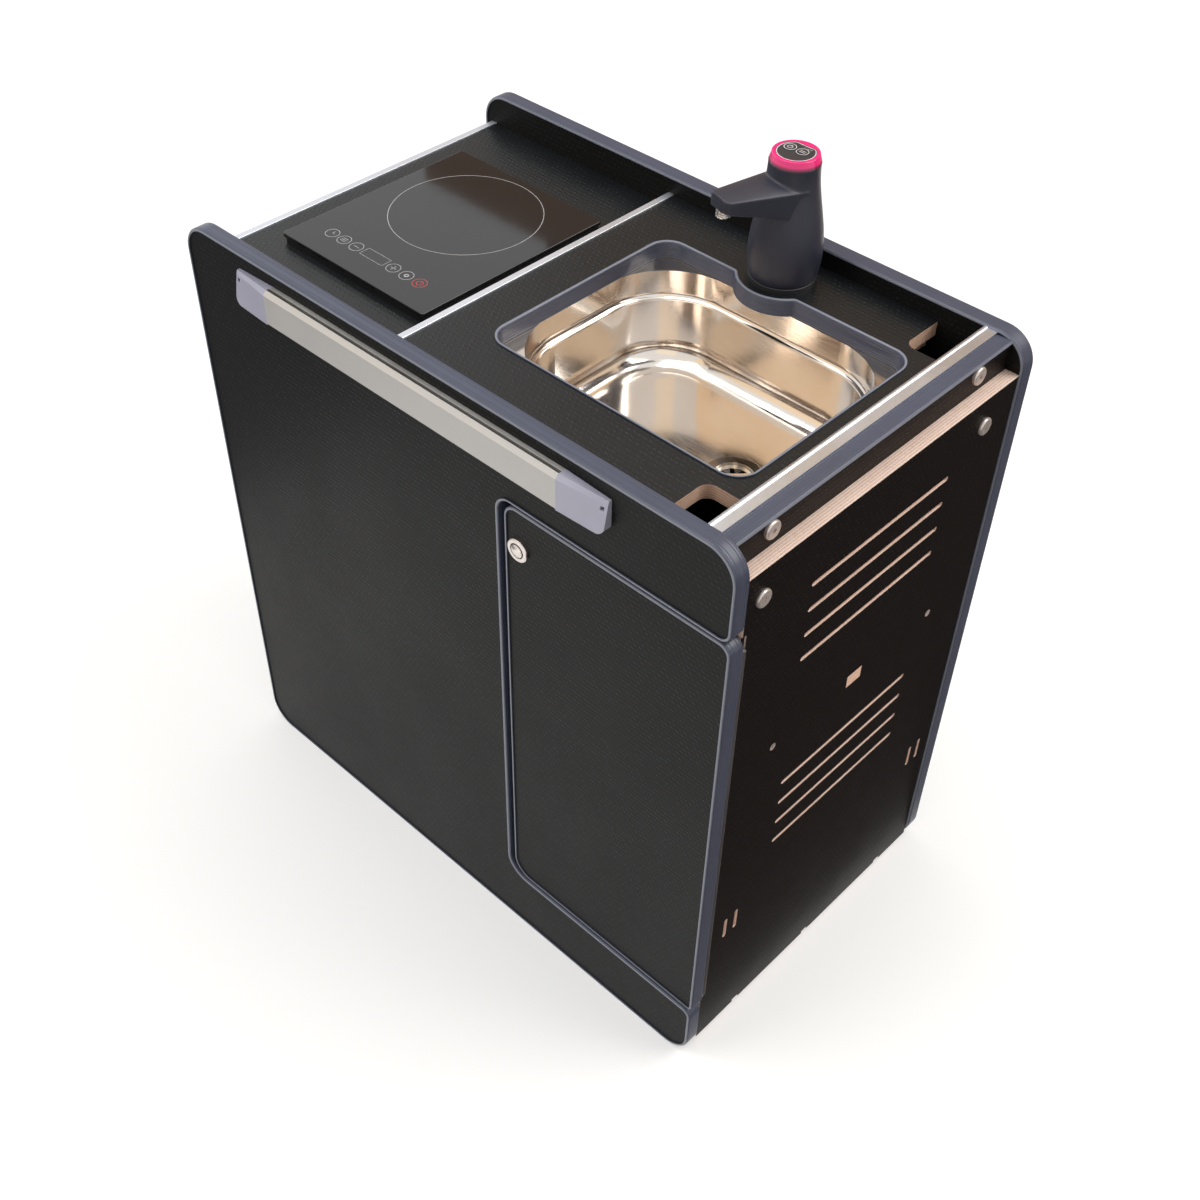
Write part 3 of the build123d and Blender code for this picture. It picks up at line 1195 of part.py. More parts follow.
NODES = {
    "front_board": front_board(),
    "front_trim": edge_trim(front_outline(), FRONT_FACE),
    "rear_board": rear_board(),
    "rear_trim": edge_trim(full_outline(), REAR_FRONT),
    "right_end_panel": end_panel(),
    "base_panel": base_panel(),
    "partition_panel": partition_panel(),
    "mid_shelf": mid_shelf(),
    "left_fascia": left_fascia(),
    "hob_worktop": hob_worktop(),
    "sink_worktop": sink_worktop(),
    "worktop_strips": worktop_strips(),
    "sink_cutout_trim": cutout_trim(),
    "worktop_cleats": worktop_cleats(),
    "end_upstand": upstand(),
    "upstand_trim": upstand_trim(),
    "side_rail": side_rail(),
    "rail_bolts": rail_bolts(),
    "end_panel_screws": end_screws(),
    "shelf_screws": shelf_screws(),
    "table_rail": table_rail(),
    "table_rail_caps": [rail_cap(1), rail_cap(-1)],
    "sink_pan": sink_pan(),
    "pan_gasket": pan_gasket(),
    "pan_clips": pan_clips(),
    "drain_flange": drain_flange(),
    "strainer": strainer(),
    "waste_cup": waste_cup(),
    "waste_hose": waste_hose(),
    "tap_hose": tap_hose(),
    "waste_can": water_can(CAN_Y[0], CAP_X["waste"]),
    "fresh_can": water_can(CAN_Y[1], CAP_X["fresh"]),
    "waste_can_cap": can_cap(CAN_Y[0], CAP_X["waste"], WASTE_HOSE_R),
    "fresh_can_cap": can_cap(CAN_Y[1], CAP_X["fresh"], HOSE_R),
    "tap_dock": tap_dock(),
    "dock_nut": dock_nut(),
    "tap_body": tap_body(),
    "tap_nozzle": tap_nozzle(),
    "tap_light_ring": light_ring(),
    "tap_face": tap_face(),
    "tap_key_left": tap_key(0),
    "tap_key_right": tap_key(1),
    "hob_glass": hob_glass(),
    "hob_case": hob_case(),
    "door_board": door_board(),
    "door_trim": door_trim(),
    "hinge_leaf_frame": hinge_leaf(0),
    "hinge_leaf_door": hinge_leaf(1),
    "hinge_pin": hinge_pin(),
    "lock_rosette": lock_rosette(),
    "lock_button": lock_button(),
    "lock_case": lock_case(),
    "lock_latch": lock_latch(),
    "lock_keeper": lock_keeper(),
    "fridge_cabinet": fridge_cabinet(),
    "fridge_shelves": fridge_shelves(),
    "fridge_door": fridge_door(),
    "fridge_gasket": fridge_gasket(),
    "fridge_hinges": fridge_hinges(),
    "compressor": compressor(),
}

for name, shape in NODES.items():
    whole = Compound(children=shape) if isinstance(shape, list) else shape
    whole.label = name
    export_step(whole, f"parts/{name}.step")
    print(name, round(whole.volume), [round(v, 1) for v in whole.bounding_box().min],
          [round(v, 1) for v in whole.bounding_box().max])
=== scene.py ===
"""Looks of a campervan kitchen pod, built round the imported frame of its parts."""

import logging
import math
from contextlib import contextmanager
from dataclasses import dataclass, field, replace
from enum import Enum
from typing import Any, Callable, Iterator, Sequence

import bpy
from mathutils import Matrix, Vector


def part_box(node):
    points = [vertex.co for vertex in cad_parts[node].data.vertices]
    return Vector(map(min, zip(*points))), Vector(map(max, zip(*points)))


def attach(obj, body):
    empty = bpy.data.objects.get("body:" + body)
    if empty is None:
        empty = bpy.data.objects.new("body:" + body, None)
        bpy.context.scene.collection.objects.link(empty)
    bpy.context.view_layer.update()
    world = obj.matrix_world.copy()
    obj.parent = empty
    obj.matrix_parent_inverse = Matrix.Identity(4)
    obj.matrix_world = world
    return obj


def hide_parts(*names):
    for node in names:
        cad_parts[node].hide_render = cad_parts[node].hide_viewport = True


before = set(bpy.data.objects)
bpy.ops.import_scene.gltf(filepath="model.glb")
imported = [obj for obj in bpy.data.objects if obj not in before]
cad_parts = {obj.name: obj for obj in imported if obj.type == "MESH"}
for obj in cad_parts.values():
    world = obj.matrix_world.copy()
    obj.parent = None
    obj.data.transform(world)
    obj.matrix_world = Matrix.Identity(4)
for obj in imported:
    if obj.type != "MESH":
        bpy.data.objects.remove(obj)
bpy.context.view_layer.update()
log = logging.getLogger("pod")

Colour = tuple[float, float, float, float]
Socket = bpy.types.NodeSocket

FLOAT = "NodeSocketFloat"
VECTOR = "NodeSocketVector"
COLOUR = "NodeSocketColor"
MIX_FIRST, MIX_SECOND, MIX_RESULT = 6, 7, 2
WHITE: Colour = (1.0, 1.0, 1.0, 1.0)
ORIGIN = (0.0, 0.0, 0.0)
RIGHT = Vector((1, 0, 0)).freeze()
BACK = Vector((0, 1, 0)).freeze()
SMOOTH_BELOW = math.radians(35)
QUARTER_TURN = math.radians(90)
DOUBLED_WITHIN = 0.00001
INK_HEIGHT = 0.00006


class Axis(Enum):
    """An axis of the pod's frame: X along the front, Y to the back, Z up."""

    X = 0
    Y = 1
    Z = 2


class Print(Enum):
    """A generic sign printed inside a round touch key."""

    CLOCK = "clock"
    BARS = "bars"
    MINUS = "minus"
    PLUS = "plus"
    DOT = "dot"
    POWER = "power"


def tone(red: float, green: float, blue: float) -> Colour:
    """Turns a colour as seen, 0 to 255, into Blender's linear values.

    Args:
        red: red as seen.
        green: green as seen.
        blue: blue as seen.

    Returns:
        The linear colour with an alpha of 1.
    """
    parts = [v / 255 for v in (red, green, blue)]
    linear = [v / 12.92 if v <= 0.04045 else ((v + 0.055) / 1.055) ** 2.4 for v in parts]
    return (linear[0], linear[1], linear[2], 1.0)


def scaled(colour: Colour, share: float = 1.0, lift: float = 0.0,
           tint: Sequence[float] = (1.0, 1.0, 1.0)) -> Colour:
    """Makes a colour darker, paler or warmer, but no brighter than white.

    Args:
        colour: the linear colour.
        share: what every channel is multiplied by.
        lift: what every channel is raised by.
        tint: what each channel is multiplied by.

    Returns:
        The new colour.
    """
    red, green, blue = (min(1.0, v * share * k + lift) for v, k in zip(colour, tint))
    return (red, green, blue, 1.0)


class Graph:
    """Short calls that add and join the nodes of one node tree."""

    def __init__(self, tree: bpy.types.NodeTree) -> None:
        """Keeps the tree that the calls work on."""
        self.tree = tree

    def feed(self, target: Socket, value: Any) -> None:
        """Joins a socket to the target, or sets a plain value on it.

        Args:
            target: the input that is fed.
            value: a socket or a plain value.
        """
        if isinstance(value, bpy.types.NodeSocket):
            self.tree.links.new(value, target)
        else:
            target.default_value = value

    def fill(self, made: bpy.types.Node, **values: Any) -> bpy.types.Node:
        """Feeds inputs of a node by their names.

        Args:
            made: the node.
            values: what each input is fed with.

        Returns:
            The same node.
        """
        for key, value in values.items():
            self.feed(made.inputs[key], value)
        return made

    def node(self, kind: str, *values: Any, **settings: Any) -> bpy.types.Node:
        """Adds a node.

        Args:
            kind: Blender's name of the node type.
            values: what its first inputs are fed with, in their order.
            settings: properties to set on it.

        Returns:
            The new node.
        """
        made = self.tree.nodes.new(kind)
        for key, value in settings.items():
            setattr(made, key, value)
        for target, value in zip(made.inputs, values):
            self.feed(target, value)
        return made

    def calc(self, operation: str, first: Any, second: Any = 0.0, third: Any = 0.0) -> Socket:
        """Adds a Math node and gives its result."""
        return self.node("ShaderNodeMath", first, second, third, operation=operation).outputs[0]

    def between(self, value: Any, low: float, high: float, to_low: float, to_high: float) -> Socket:
        """Maps a value smoothly from one range to another and clamps it.

        Args:
            value: value or socket to map.
            low: start of the input range.
            high: end of the input range.
            to_low: result at the start.
            to_high: result at the end.

        Returns:
            The mapped value's socket.
        """
        made = self.node("ShaderNodeMapRange", value, low, high, to_low, to_high,
                         interpolation_type="SMOOTHSTEP")
        return made.outputs[0]

    def blend(self, share: Any, low: Any, high: Any, mode: str = "MIX") -> Socket:
        """Mixes two colours.

        Args:
            share: how much of the second colour.
            low: first colour.
            high: second colour.
            mode: blend mode.

        Returns:
            The mixed colour's socket.
        """
        made = self.node("ShaderNodeMix", share, data_type="RGBA", blend_type=mode)
        self.feed(made.inputs[MIX_FIRST], low)
        self.feed(made.inputs[MIX_SECOND], high)
        return made.outputs[MIX_RESULT]

    def noise(self, vector: Any, scale: float, detail: float = 2.0, rough: float = 0.5) -> Socket:
        """Adds a noise texture.

        Args:
            vector: where it is read.
            scale: waves in a metre.
            detail: octaves.
            rough: weight of the fine octaves.

        Returns:
            The noise's value, about 0.5.
        """
        made = self.fill(self.node("ShaderNodeTexNoise"), Vector=vector, Scale=scale,
                         Detail=detail, Roughness=rough)
        return made.outputs["Fac"]

    def stretch(self, vector: Socket, scale: Sequence[float]) -> Socket:
        """Scales a vector by axis, for grain that runs one way."""
        return self.fill(self.node("ShaderNodeMapping"), Vector=vector, Scale=scale).outputs[0]

    def split(self, vector: Socket) -> Sequence[Socket]:
        """Gives the three coordinates of a vector."""
        return self.node("ShaderNodeSeparateXYZ", vector).outputs

    def effect(self, tree: bpy.types.NodeTree, **values: Any) -> Any:
        """Places a shared effect, its inputs fed by name, and gives its outputs."""
        return self.fill(self.node("ShaderNodeGroup", node_tree=tree), **values).outputs


def new_group(name: str, takes: dict[str, tuple[str, Any]],
              gives: dict[str, str]) -> tuple[Graph, Any, bpy.types.Node]:
    """Starts a shader node group.

    Args:
        name: name of the group.
        takes: inputs, each with its socket type and default.
        gives: outputs, each with its socket type.

    Returns:
        The graph, what it takes, by name, and its output node.
    """
    tree = bpy.data.node_groups.new(name, "ShaderNodeTree")
    for label, (kind, value) in takes.items():
        made = tree.interface.new_socket(label, in_out="INPUT", socket_type=kind)
        made.default_value = value
    for label, kind in gives.items():
        tree.interface.new_socket(label, in_out="OUTPUT", socket_type=kind)
    graph = Graph(tree)
    return graph, graph.node("NodeGroupInput").outputs, graph.node("NodeGroupOutput")


def grip_pattern() -> bpy.types.NodeTree:
    """Builds the raised grip pattern of the film, in staggered rows.

    Returns:
        A group that takes two coordinates and a pitch in metres and gives a height.
    """
    row_rise, stagger, slant, squash = 0.87, 0.5, 0.55, 1.45
    crown, foot = 0.12, 0.44
    graph, takes, gives = new_group(
        "grip_pattern",
        {"Along": (FLOAT, 0.0), "Up": (FLOAT, 0.0), "Pitch": (FLOAT, 0.005)},
        {"Height": FLOAT})
    along = graph.calc("DIVIDE", takes["Along"], takes["Pitch"])
    up = graph.calc("DIVIDE", takes["Up"], graph.calc("MULTIPLY", takes["Pitch"], row_rise))
    odd = graph.calc("FLOORED_MODULO", graph.calc("FLOOR", up), 2.0)
    along = graph.calc("MULTIPLY_ADD", odd, stagger, along)
    across = graph.calc("SUBTRACT", graph.calc("FRACT", along), 0.5)
    over = graph.calc("SUBTRACT", graph.calc("FRACT", up), 0.5)
    lean = graph.calc("MULTIPLY_ADD", over, slant, across)
    flat = graph.calc("MULTIPLY", over, squash)
    square = graph.calc("ADD", graph.calc("POWER", lean, 2.0), graph.calc("POWER", flat, 2.0))
    graph.fill(gives, Height=graph.between(graph.calc("SQRT", square), crown, foot, 1.0, 0.0))
    return graph.tree


def ply_layers() -> bpy.types.NodeTree:
    """Builds the cut edge of birch ply, with thin glue lines and short grain.

    Returns:
        A group that takes the depth into the board, a place, the layers' thickness
        and their two colours, and gives a colour and a height.
    """
    wave_scale, wave_depth, grain_scale = 22.0, 0.0009, 420.0
    glue, glue_half = tone(112, 70, 54), 0.11
    graph, takes, gives = new_group(
        "ply_layers",
        {"Depth": (FLOAT, 0.0), "Place": (VECTOR, ORIGIN), "Layer": (FLOAT, 0.00136),
         "Pale": (COLOUR, WHITE), "Dark": (COLOUR, WHITE)},
        {"Color": COLOUR, "Height": FLOAT})
    wave = graph.noise(takes["Place"], wave_scale)
    depth = graph.calc("MULTIPLY_ADD", wave, wave_depth, takes["Depth"])
    layer = graph.calc("DIVIDE", depth, takes["Layer"])
    odd = graph.calc("FLOORED_MODULO", graph.calc("FLOOR", layer), 2.0)
    seam = graph.between(graph.calc("PINGPONG", layer, 0.5), 0.0, glue_half, 1.0, 0.0)
    streak = graph.noise(takes["Place"], grain_scale, 3.0, 0.7)
    share = graph.calc("MULTIPLY_ADD", streak, 0.9, graph.calc("MULTIPLY_ADD", odd, 0.5, -0.42))
    colour = graph.blend(share, takes["Pale"], takes["Dark"])
    lined = graph.calc("MULTIPLY", seam, graph.between(wave, 0.35, 0.6, 0.25, 0.9))
    graph.fill(gives, Color=graph.blend(lined, colour, glue),
               Height=graph.calc("SUBTRACT", streak, seam))
    return graph.tree


def worn_surface() -> bpy.types.NodeTree:
    """Builds soft patches, specks of dust and faint scuffs.

    Returns:
        A group that gives a shade about 0.5, a mask of specks and one of scuffs.
    """
    patch_scale, speck_scale, scuff_scale = 7.0, 900.0, 9.0
    scuff_run = (6.0, 42.0, 30.0)
    graph, takes, gives = new_group(
        "worn_surface", {"Place": (VECTOR, ORIGIN)},
        {"Shade": FLOAT, "Specks": FLOAT, "Scuffs": FLOAT})
    place = takes["Place"]
    specks = graph.noise(place, speck_scale, 1.0)
    scuffs = graph.noise(graph.stretch(place, scuff_run), scuff_scale, 3.0, 0.7)
    graph.fill(gives, Shade=graph.noise(place, patch_scale, 4.0, 0.6),
               Specks=graph.between(specks, 0.72, 0.8, 0.0, 1.0),
               Scuffs=graph.between(scuffs, 0.62, 0.78, 0.0, 1.0))
    return graph.tree


def drawn_lines() -> bpy.types.NodeTree:
    """Builds the fine lines that an extruding die leaves along a profile.

    Returns:
        A group that takes a coordinate across the profile and gives a height.
    """
    graph, takes, gives = new_group(
        "drawn_lines", {"Across": (FLOAT, 0.0), "Pitch": (FLOAT, 0.0006)}, {"Height": FLOAT})
    lines = graph.fill(graph.node("ShaderNodeTexNoise", noise_dimensions="1D"), Scale=1.0,
                       W=graph.calc("DIVIDE", takes["Across"], takes["Pitch"]), Detail=1.5)
    graph.fill(gives, Height=lines.outputs["Fac"])
    return graph.tree


def moulded_grain() -> bpy.types.NodeTree:
    """Builds the fine spark grain of moulded plastic and powder coat.

    Returns:
        A group that takes a place and a number of grains a metre and gives a height.
    """
    soft_scale, soft_share = 1400.0, 0.5
    graph, takes, gives = new_group(
        "moulded_grain", {"Place": (VECTOR, ORIGIN), "Grains": (FLOAT, 2500.0)}, {"Height": FLOAT})
    cells = graph.fill(graph.node("ShaderNodeTexVoronoi", feature="SMOOTH_F1"),
                       Vector=takes["Place"], Scale=takes["Grains"])
    soft = graph.noise(takes["Place"], soft_scale)
    graph.fill(gives, Height=graph.calc("MULTIPLY_ADD", soft, soft_share, cells.outputs["Distance"]))
    return graph.tree


@dataclass
class Effects:
    """The shader node groups that several finishes share."""

    grip: bpy.types.NodeTree = field(default_factory=grip_pattern)
    ply: bpy.types.NodeTree = field(default_factory=ply_layers)
    wear: bpy.types.NodeTree = field(default_factory=worn_surface)
    lines: bpy.types.NodeTree = field(default_factory=drawn_lines)
    grain: bpy.types.NodeTree = field(default_factory=moulded_grain)


EFFECTS = Effects()


class Canvas(Graph):
    """A material in the making, with its Principled shader and its wear."""

    def __init__(self, name: str) -> None:
        """Starts the material.

        Args:
            name: name of the material.
        """
        self.material = bpy.data.materials.new(name)
        self.material.use_nodes = True
        super().__init__(self.material.node_tree)
        self.shader = self.tree.nodes["Principled BSDF"]
        self.place = self.node("ShaderNodeTexCoord").outputs["Object"]
        self.worn = self.effect(EFFECTS.wear, Place=self.place)

    def set(self, **values: Any) -> None:
        """Feeds inputs of the shader by name, with an underline for each space."""
        for key, value in values.items():
            self.feed(self.shader.inputs[key.replace("_", " ")], value)

    def patchy(self, low: float, high: float) -> Socket:
        """Gives a value that drifts between two numbers in soft patches."""
        return self.between(self.worn["Shade"], 0.3, 0.7, low, high)

    def marked(self, mask: str, share: float, colour: Any, mark: Colour) -> Socket:
        """Adds faint marks of another colour where a mask of the wear has them."""
        return self.blend(self.calc("MULTIPLY", self.worn[mask], share), colour, mark)

    def raise_by(self, height: Socket, metres: float) -> None:
        """Turns a height into a bump of the shader, its full height in metres."""
        bump = self.fill(self.node("ShaderNodeBump"), Distance=metres, Height=height)
        self.set(Normal=bump.outputs[0])


class Finish:
    """Shared step of every finish: one material that the finish paints."""

    def build(self, name: str) -> bpy.types.Material:
        """Builds the material.

        Args:
            name: name of the material.

        Returns:
            The material.
        """
        canvas = Canvas(name)
        self.paint(canvas)
        return canvas.material

    def paint(self, canvas: Canvas) -> None:
        """Stands for each finish's own way of painting."""
        raise NotImplementedError


@dataclass(frozen=True)
class Film(Finish):
    """Grip film on both faces of a ply board, with raw ply at its cut edges."""

    shade: Colour
    thick: Axis = Axis.Y
    low: float = 0.0
    pale: Colour = tone(238, 204, 180)
    dark: Colour = tone(196, 144, 114)
    dust: Colour = tone(130, 128, 126)
    pitch: float = 0.0062
    wander: float = 0.0032
    wander_waves: tuple[float, float] = (95.0, 120.0)
    thin_waves: float = 150.0
    relief: float = 0.0002
    grains: float = 1800.0
    gloss: float = 0.42
    edge_gloss: float = 0.3
    # How much paler the bumps' tops are painted: part wear, part painted sheen.
    lift: float = 1.9
    mirror: float = 0.12
    flat_from: float = 0.7

    def paint(self, canvas: Canvas) -> None:
        """Lays film on the board's faces and ply on its edges.

        Args:
            canvas: the material in the making.
        """
        parts = canvas.split(canvas.place)
        facing = canvas.split(canvas.node("ShaderNodeTexCoord").outputs["Normal"])
        steep = canvas.calc("ABSOLUTE", facing[self.thick.value])
        flat = canvas.calc("GREATER_THAN", steep, self.flat_from)
        edge = canvas.calc("SUBTRACT", 1.0, flat)
        bumps = self.bumps(canvas, parts)
        depth = canvas.calc("SUBTRACT", parts[self.thick.value], self.low)
        ply = canvas.effect(EFFECTS.ply, Depth=depth, Place=canvas.place,
                            Pale=self.pale, Dark=self.dark)
        # The grip bumps' tops are painted paler: part wear on the raised bumps, part painted sheen.
        film = canvas.blend(bumps, self.shade, scaled(self.shade, self.lift))
        film = canvas.blend(1.0, film, canvas.patchy(0.92, 1.06), "MULTIPLY")
        film = canvas.marked("Specks", 0.1, film, self.dust)
        sheen = canvas.patchy(self.gloss - 0.02, self.gloss + 0.04)
        canvas.set(Base_Color=canvas.blend(flat, ply["Color"], film),
                   Roughness=canvas.calc("MULTIPLY_ADD", edge, self.edge_gloss, sheen),
                   Specular_IOR_Level=self.mirror)
        fine = canvas.effect(EFFECTS.grain, Place=canvas.place, Grains=self.grains)["Height"]
        on_film = canvas.calc("MULTIPLY_ADD", fine, 0.16, bumps)
        on_edge = canvas.calc("MULTIPLY", ply["Height"], 0.5)
        height = canvas.calc("ADD", canvas.calc("MULTIPLY", on_film, flat),
                             canvas.calc("MULTIPLY", on_edge, edge))
        canvas.raise_by(height, self.relief)

    def bumps(self, canvas: Canvas, parts: Sequence[Socket]) -> Socket:
        """Lays the grip pattern, which wanders a little and thins out in places.

        Args:
            canvas: the material in the making.
            parts: the three coordinates of the place.

        Returns:
            The bumps' height, from 0 to 1.
        """
        others = [axis.value for axis in Axis if axis is not self.thick]
        along, up = (
            canvas.calc("MULTIPLY_ADD", canvas.noise(canvas.place, waves, 1.0), self.wander, parts[other])
            for waves, other in zip(self.wander_waves, others))
        grip = canvas.effect(EFFECTS.grip, Along=along, Up=up, Pitch=self.pitch)["Height"]
        thin = canvas.between(canvas.noise(canvas.place, self.thin_waves, 1.0), 0.4, 0.62, 0.3, 1.0)
        return canvas.calc("MULTIPLY", grip, thin)


@dataclass(frozen=True)
class EdgeTrim(Finish):
    """Extruded slate plastic with two pairs of shallow ribs, painted shade in the ribs and a painted
    highlight along both edges.
    """

    across: Axis
    middle: float
    half: float
    shade: Colour = tone(72, 77, 95)
    # Colour of the painted highlight along the trim's edges.
    edge_highlight: Colour = tone(136, 140, 152)
    dust: Colour = tone(150, 150, 158)
    ribs: tuple[float, float] = (0.0062, 0.0034)
    rib_half: float = 0.0005
    pitch: float = 0.0019
    relief: float = 0.00018
    gloss: float = 0.28

    def paint(self, canvas: Canvas) -> None:
        """Lays lines along the trim, with ribs about its middle painted darker and a painted highlight
        along each edge.

        Args:
            canvas: the material in the making.
        """
        off = canvas.calc("SUBTRACT", canvas.split(canvas.place)[self.across.value], self.middle)
        side = canvas.calc("ABSOLUTE", off)
        lines = canvas.effect(EFFECTS.lines, Across=off, Pitch=self.pitch)["Height"]
        away = [canvas.calc("ABSOLUTE", canvas.calc("SUBTRACT", side, rib)) for rib in self.ribs]
        ribs = canvas.calc("ADD", *(canvas.between(one, 0.0, self.rib_half, 1.0, 0.0) for one in away))
        dark = scaled(self.shade, 0.45)
        colour = canvas.blend(canvas.patchy(0.2, 0.8), self.shade, scaled(self.shade, 1.25))
        colour = canvas.blend(canvas.calc("MULTIPLY", lines, 0.5), colour, dark)
        # The ribs are painted darker: painted shade in their grooves.
        colour = canvas.blend(canvas.calc("MULTIPLY", ribs, 0.7), colour, dark)
        # A painted highlight along each edge of the trim, where its rounded lips catch the light.
        highlight_band = canvas.between(side, self.half - 0.0008, self.half - 0.0002, 0.0, 0.75)
        colour = canvas.blend(highlight_band, colour, self.edge_highlight)
        canvas.set(Base_Color=canvas.marked("Specks", 0.2, colour, self.dust),
                   Roughness=canvas.patchy(self.gloss, self.gloss + 0.1))
        height = canvas.calc("SUBTRACT", canvas.calc("MULTIPLY", lines, 0.25), ribs)
        canvas.raise_by(height, self.relief)


@dataclass(frozen=True)
class DrawnMetal(Finish):
    """Anodised or plated metal, drawn or turned across one axis."""

    shade: Colour
    across: Axis
    gloss: float = 0.36
    pitch: float = 0.0004
    relief: float = 0.00005

    def paint(self, canvas: Canvas) -> None:
        """Lays fine lines and faint scuffs.

        Args:
            canvas: the material in the making.
        """
        across = canvas.split(canvas.place)[self.across.value]
        lines = canvas.effect(EFFECTS.lines, Across=across, Pitch=self.pitch)["Height"]
        scuffs = canvas.calc("MULTIPLY", canvas.worn["Scuffs"], 0.25)
        share = canvas.calc("MULTIPLY_ADD", lines, 0.5, scuffs)
        canvas.set(Base_Color=canvas.blend(share, self.shade, scaled(self.shade, 0.82)), Metallic=1.0,
                   Roughness=canvas.patchy(self.gloss - 0.04, self.gloss + 0.08))
        canvas.raise_by(lines, self.relief)


@dataclass(frozen=True)
class PressedSteel(Finish):
    """Pressed stainless steel with a soft satin and faint polish marks."""

    shade: Colour = tone(228, 221, 214)
    gloss: float = 0.12
    # Tint of the warm patches, which are painted reflection.
    reflection_tint: tuple[float, float, float] = (0.95, 0.91, 0.86)
    rubbed: Colour = tone(190, 180, 168)
    satin_run: tuple[float, float, float] = (60.0, 900.0, 900.0)
    relief: float = 0.000005

    def paint(self, canvas: Canvas) -> None:
        """Lays the satin, the warm patches of painted reflection and the rubbed marks.

        Args:
            canvas: the material in the making.
        """
        satin = canvas.noise(canvas.stretch(canvas.place, self.satin_run), 1.0, 3.0, 0.6)
        # Warm patches painted into the colour stand in for warm reflections in the steel.
        warm = canvas.between(canvas.worn["Shade"], 0.35, 0.65, 0.0, 1.0)
        colour = canvas.blend(warm, self.shade, scaled(self.shade, tint=self.reflection_tint))
        rough = canvas.between(satin, 0.3, 0.7, self.gloss - 0.03, self.gloss + 0.06)
        canvas.set(Base_Color=canvas.marked("Scuffs", 0.2, colour, self.rubbed), Metallic=1.0,
                   Roughness=canvas.calc("MULTIPLY_ADD", canvas.worn["Scuffs"], 0.06, rough))
        canvas.raise_by(satin, self.relief)


@dataclass(frozen=True)
class Moulding(Finish):
    """Moulded plastic, rubber, enamel or ink with a fine spark grain."""

    shade: Colour
    gloss: float = 0.45
    grains: float = 2500.0
    relief: float = 0.00003
    coat: float = 0.0
    metal: float = 0.0
    dust: Colour = tone(170, 170, 172)

    def paint(self, canvas: Canvas) -> None:
        """Lays the grain, soft patches and a little dust.

        Args:
            canvas: the material in the making.
        """
        grain = canvas.effect(EFFECTS.grain, Place=canvas.place, Grains=self.grains)["Height"]
        colour = canvas.blend(canvas.patchy(0.0, 1.0), self.shade, scaled(self.shade, 1.22, 0.002))
        canvas.set(Base_Color=canvas.marked("Specks", 0.1, colour, self.dust),
                   Roughness=canvas.patchy(self.gloss - 0.05, self.gloss + 0.08),
                   Coat_Weight=self.coat, Metallic=self.metal)
        canvas.raise_by(grain, self.relief)


@dataclass(frozen=True)
class LitRing(Finish):
    """Tinted clear plastic, painted dark at its foot as painted shade and bright at its shoulder as
    painted highlight.
    """

    foot: float
    head: float
    shaded_foot: Colour = tone(124, 10, 62)
    lit_shoulder: Colour = tone(238, 30, 122)
    gloss: float = 0.16
    coat: float = 0.5
    relief: float = 0.00003

    def paint(self, canvas: Canvas) -> None:
        """Lays the painted shade at the foot, fading into the painted highlight at the shoulder.

        Args:
            canvas: the material in the making.
        """
        up = canvas.split(canvas.place)[Axis.Z.value]
        rise = canvas.between(up, self.foot, self.head, 0.0, 1.0)
        rough = canvas.calc("MULTIPLY_ADD", canvas.worn["Scuffs"], 0.08, self.gloss)
        canvas.set(Base_Color=canvas.blend(rise, self.shaded_foot, self.lit_shoulder), Roughness=rough,
                   Coat_Weight=self.coat)
        canvas.raise_by(canvas.worn["Shade"], self.relief)


@dataclass(frozen=True)
class Glass(Finish):
    """Dark or clear glass with faint finger marks."""

    shade: Colour
    gloss: float = 0.05
    through: float = 0.0
    bending: float = 1.6
    relief: float = 0.00004

    def paint(self, canvas: Canvas) -> None:
        """Lays the smears and specks.

        Args:
            canvas: the material in the making.
        """
        pale = scaled(self.shade, 1.5, 0.004)
        smear = canvas.calc("MULTIPLY_ADD", canvas.worn["Scuffs"], 0.1, self.gloss)
        canvas.set(Base_Color=canvas.blend(canvas.worn["Shade"], self.shade, pale),
                   Roughness=canvas.calc("MULTIPLY_ADD", canvas.worn["Specks"], 0.2, smear),
                   Transmission_Weight=self.through, IOR=self.bending)
        canvas.raise_by(canvas.worn["Shade"], self.relief)


def pick(piece: bpy.types.Object) -> None:
    """Selects one object alone and makes it active.

    Args:
        piece: the object.
    """
    bpy.ops.object.select_all(action="DESELECT")
    piece.select_set(True)
    bpy.context.view_layer.objects.active = piece


def fresh(add: Callable[..., Any], **settings: Any) -> bpy.types.Object:
    """Adds a primitive while nothing else is selected.

    Args:
        add: the operator that adds it.
        settings: the operator's settings.

    Returns:
        The new object.
    """
    bpy.ops.object.select_all(action="DESELECT")
    add(**settings)
    return bpy.context.object


def linked(name: str, data: bpy.types.ID) -> bpy.types.Object:
    """Makes an object of ready data and links it to the scene.

    Args:
        name: its name.
        data: its mesh, lamp or camera.

    Returns:
        The new object.
    """
    made = bpy.data.objects.new(name, data)
    bpy.context.scene.collection.objects.link(made)
    return made


@contextmanager
def editing(piece: bpy.types.Object, mode: str = "FACE") -> Iterator[None]:
    """Opens a piece in edit mode and closes it again.

    Args:
        piece: the piece.
        mode: VERT, EDGE or FACE.
    """
    pick(piece)
    bpy.ops.object.mode_set(mode="EDIT")
    bpy.ops.mesh.select_mode(type=mode)
    yield
    bpy.ops.object.mode_set(mode="OBJECT")


def choose_all() -> None:
    """Selects the whole mesh, in edit mode."""
    bpy.ops.mesh.select_all(action="SELECT")


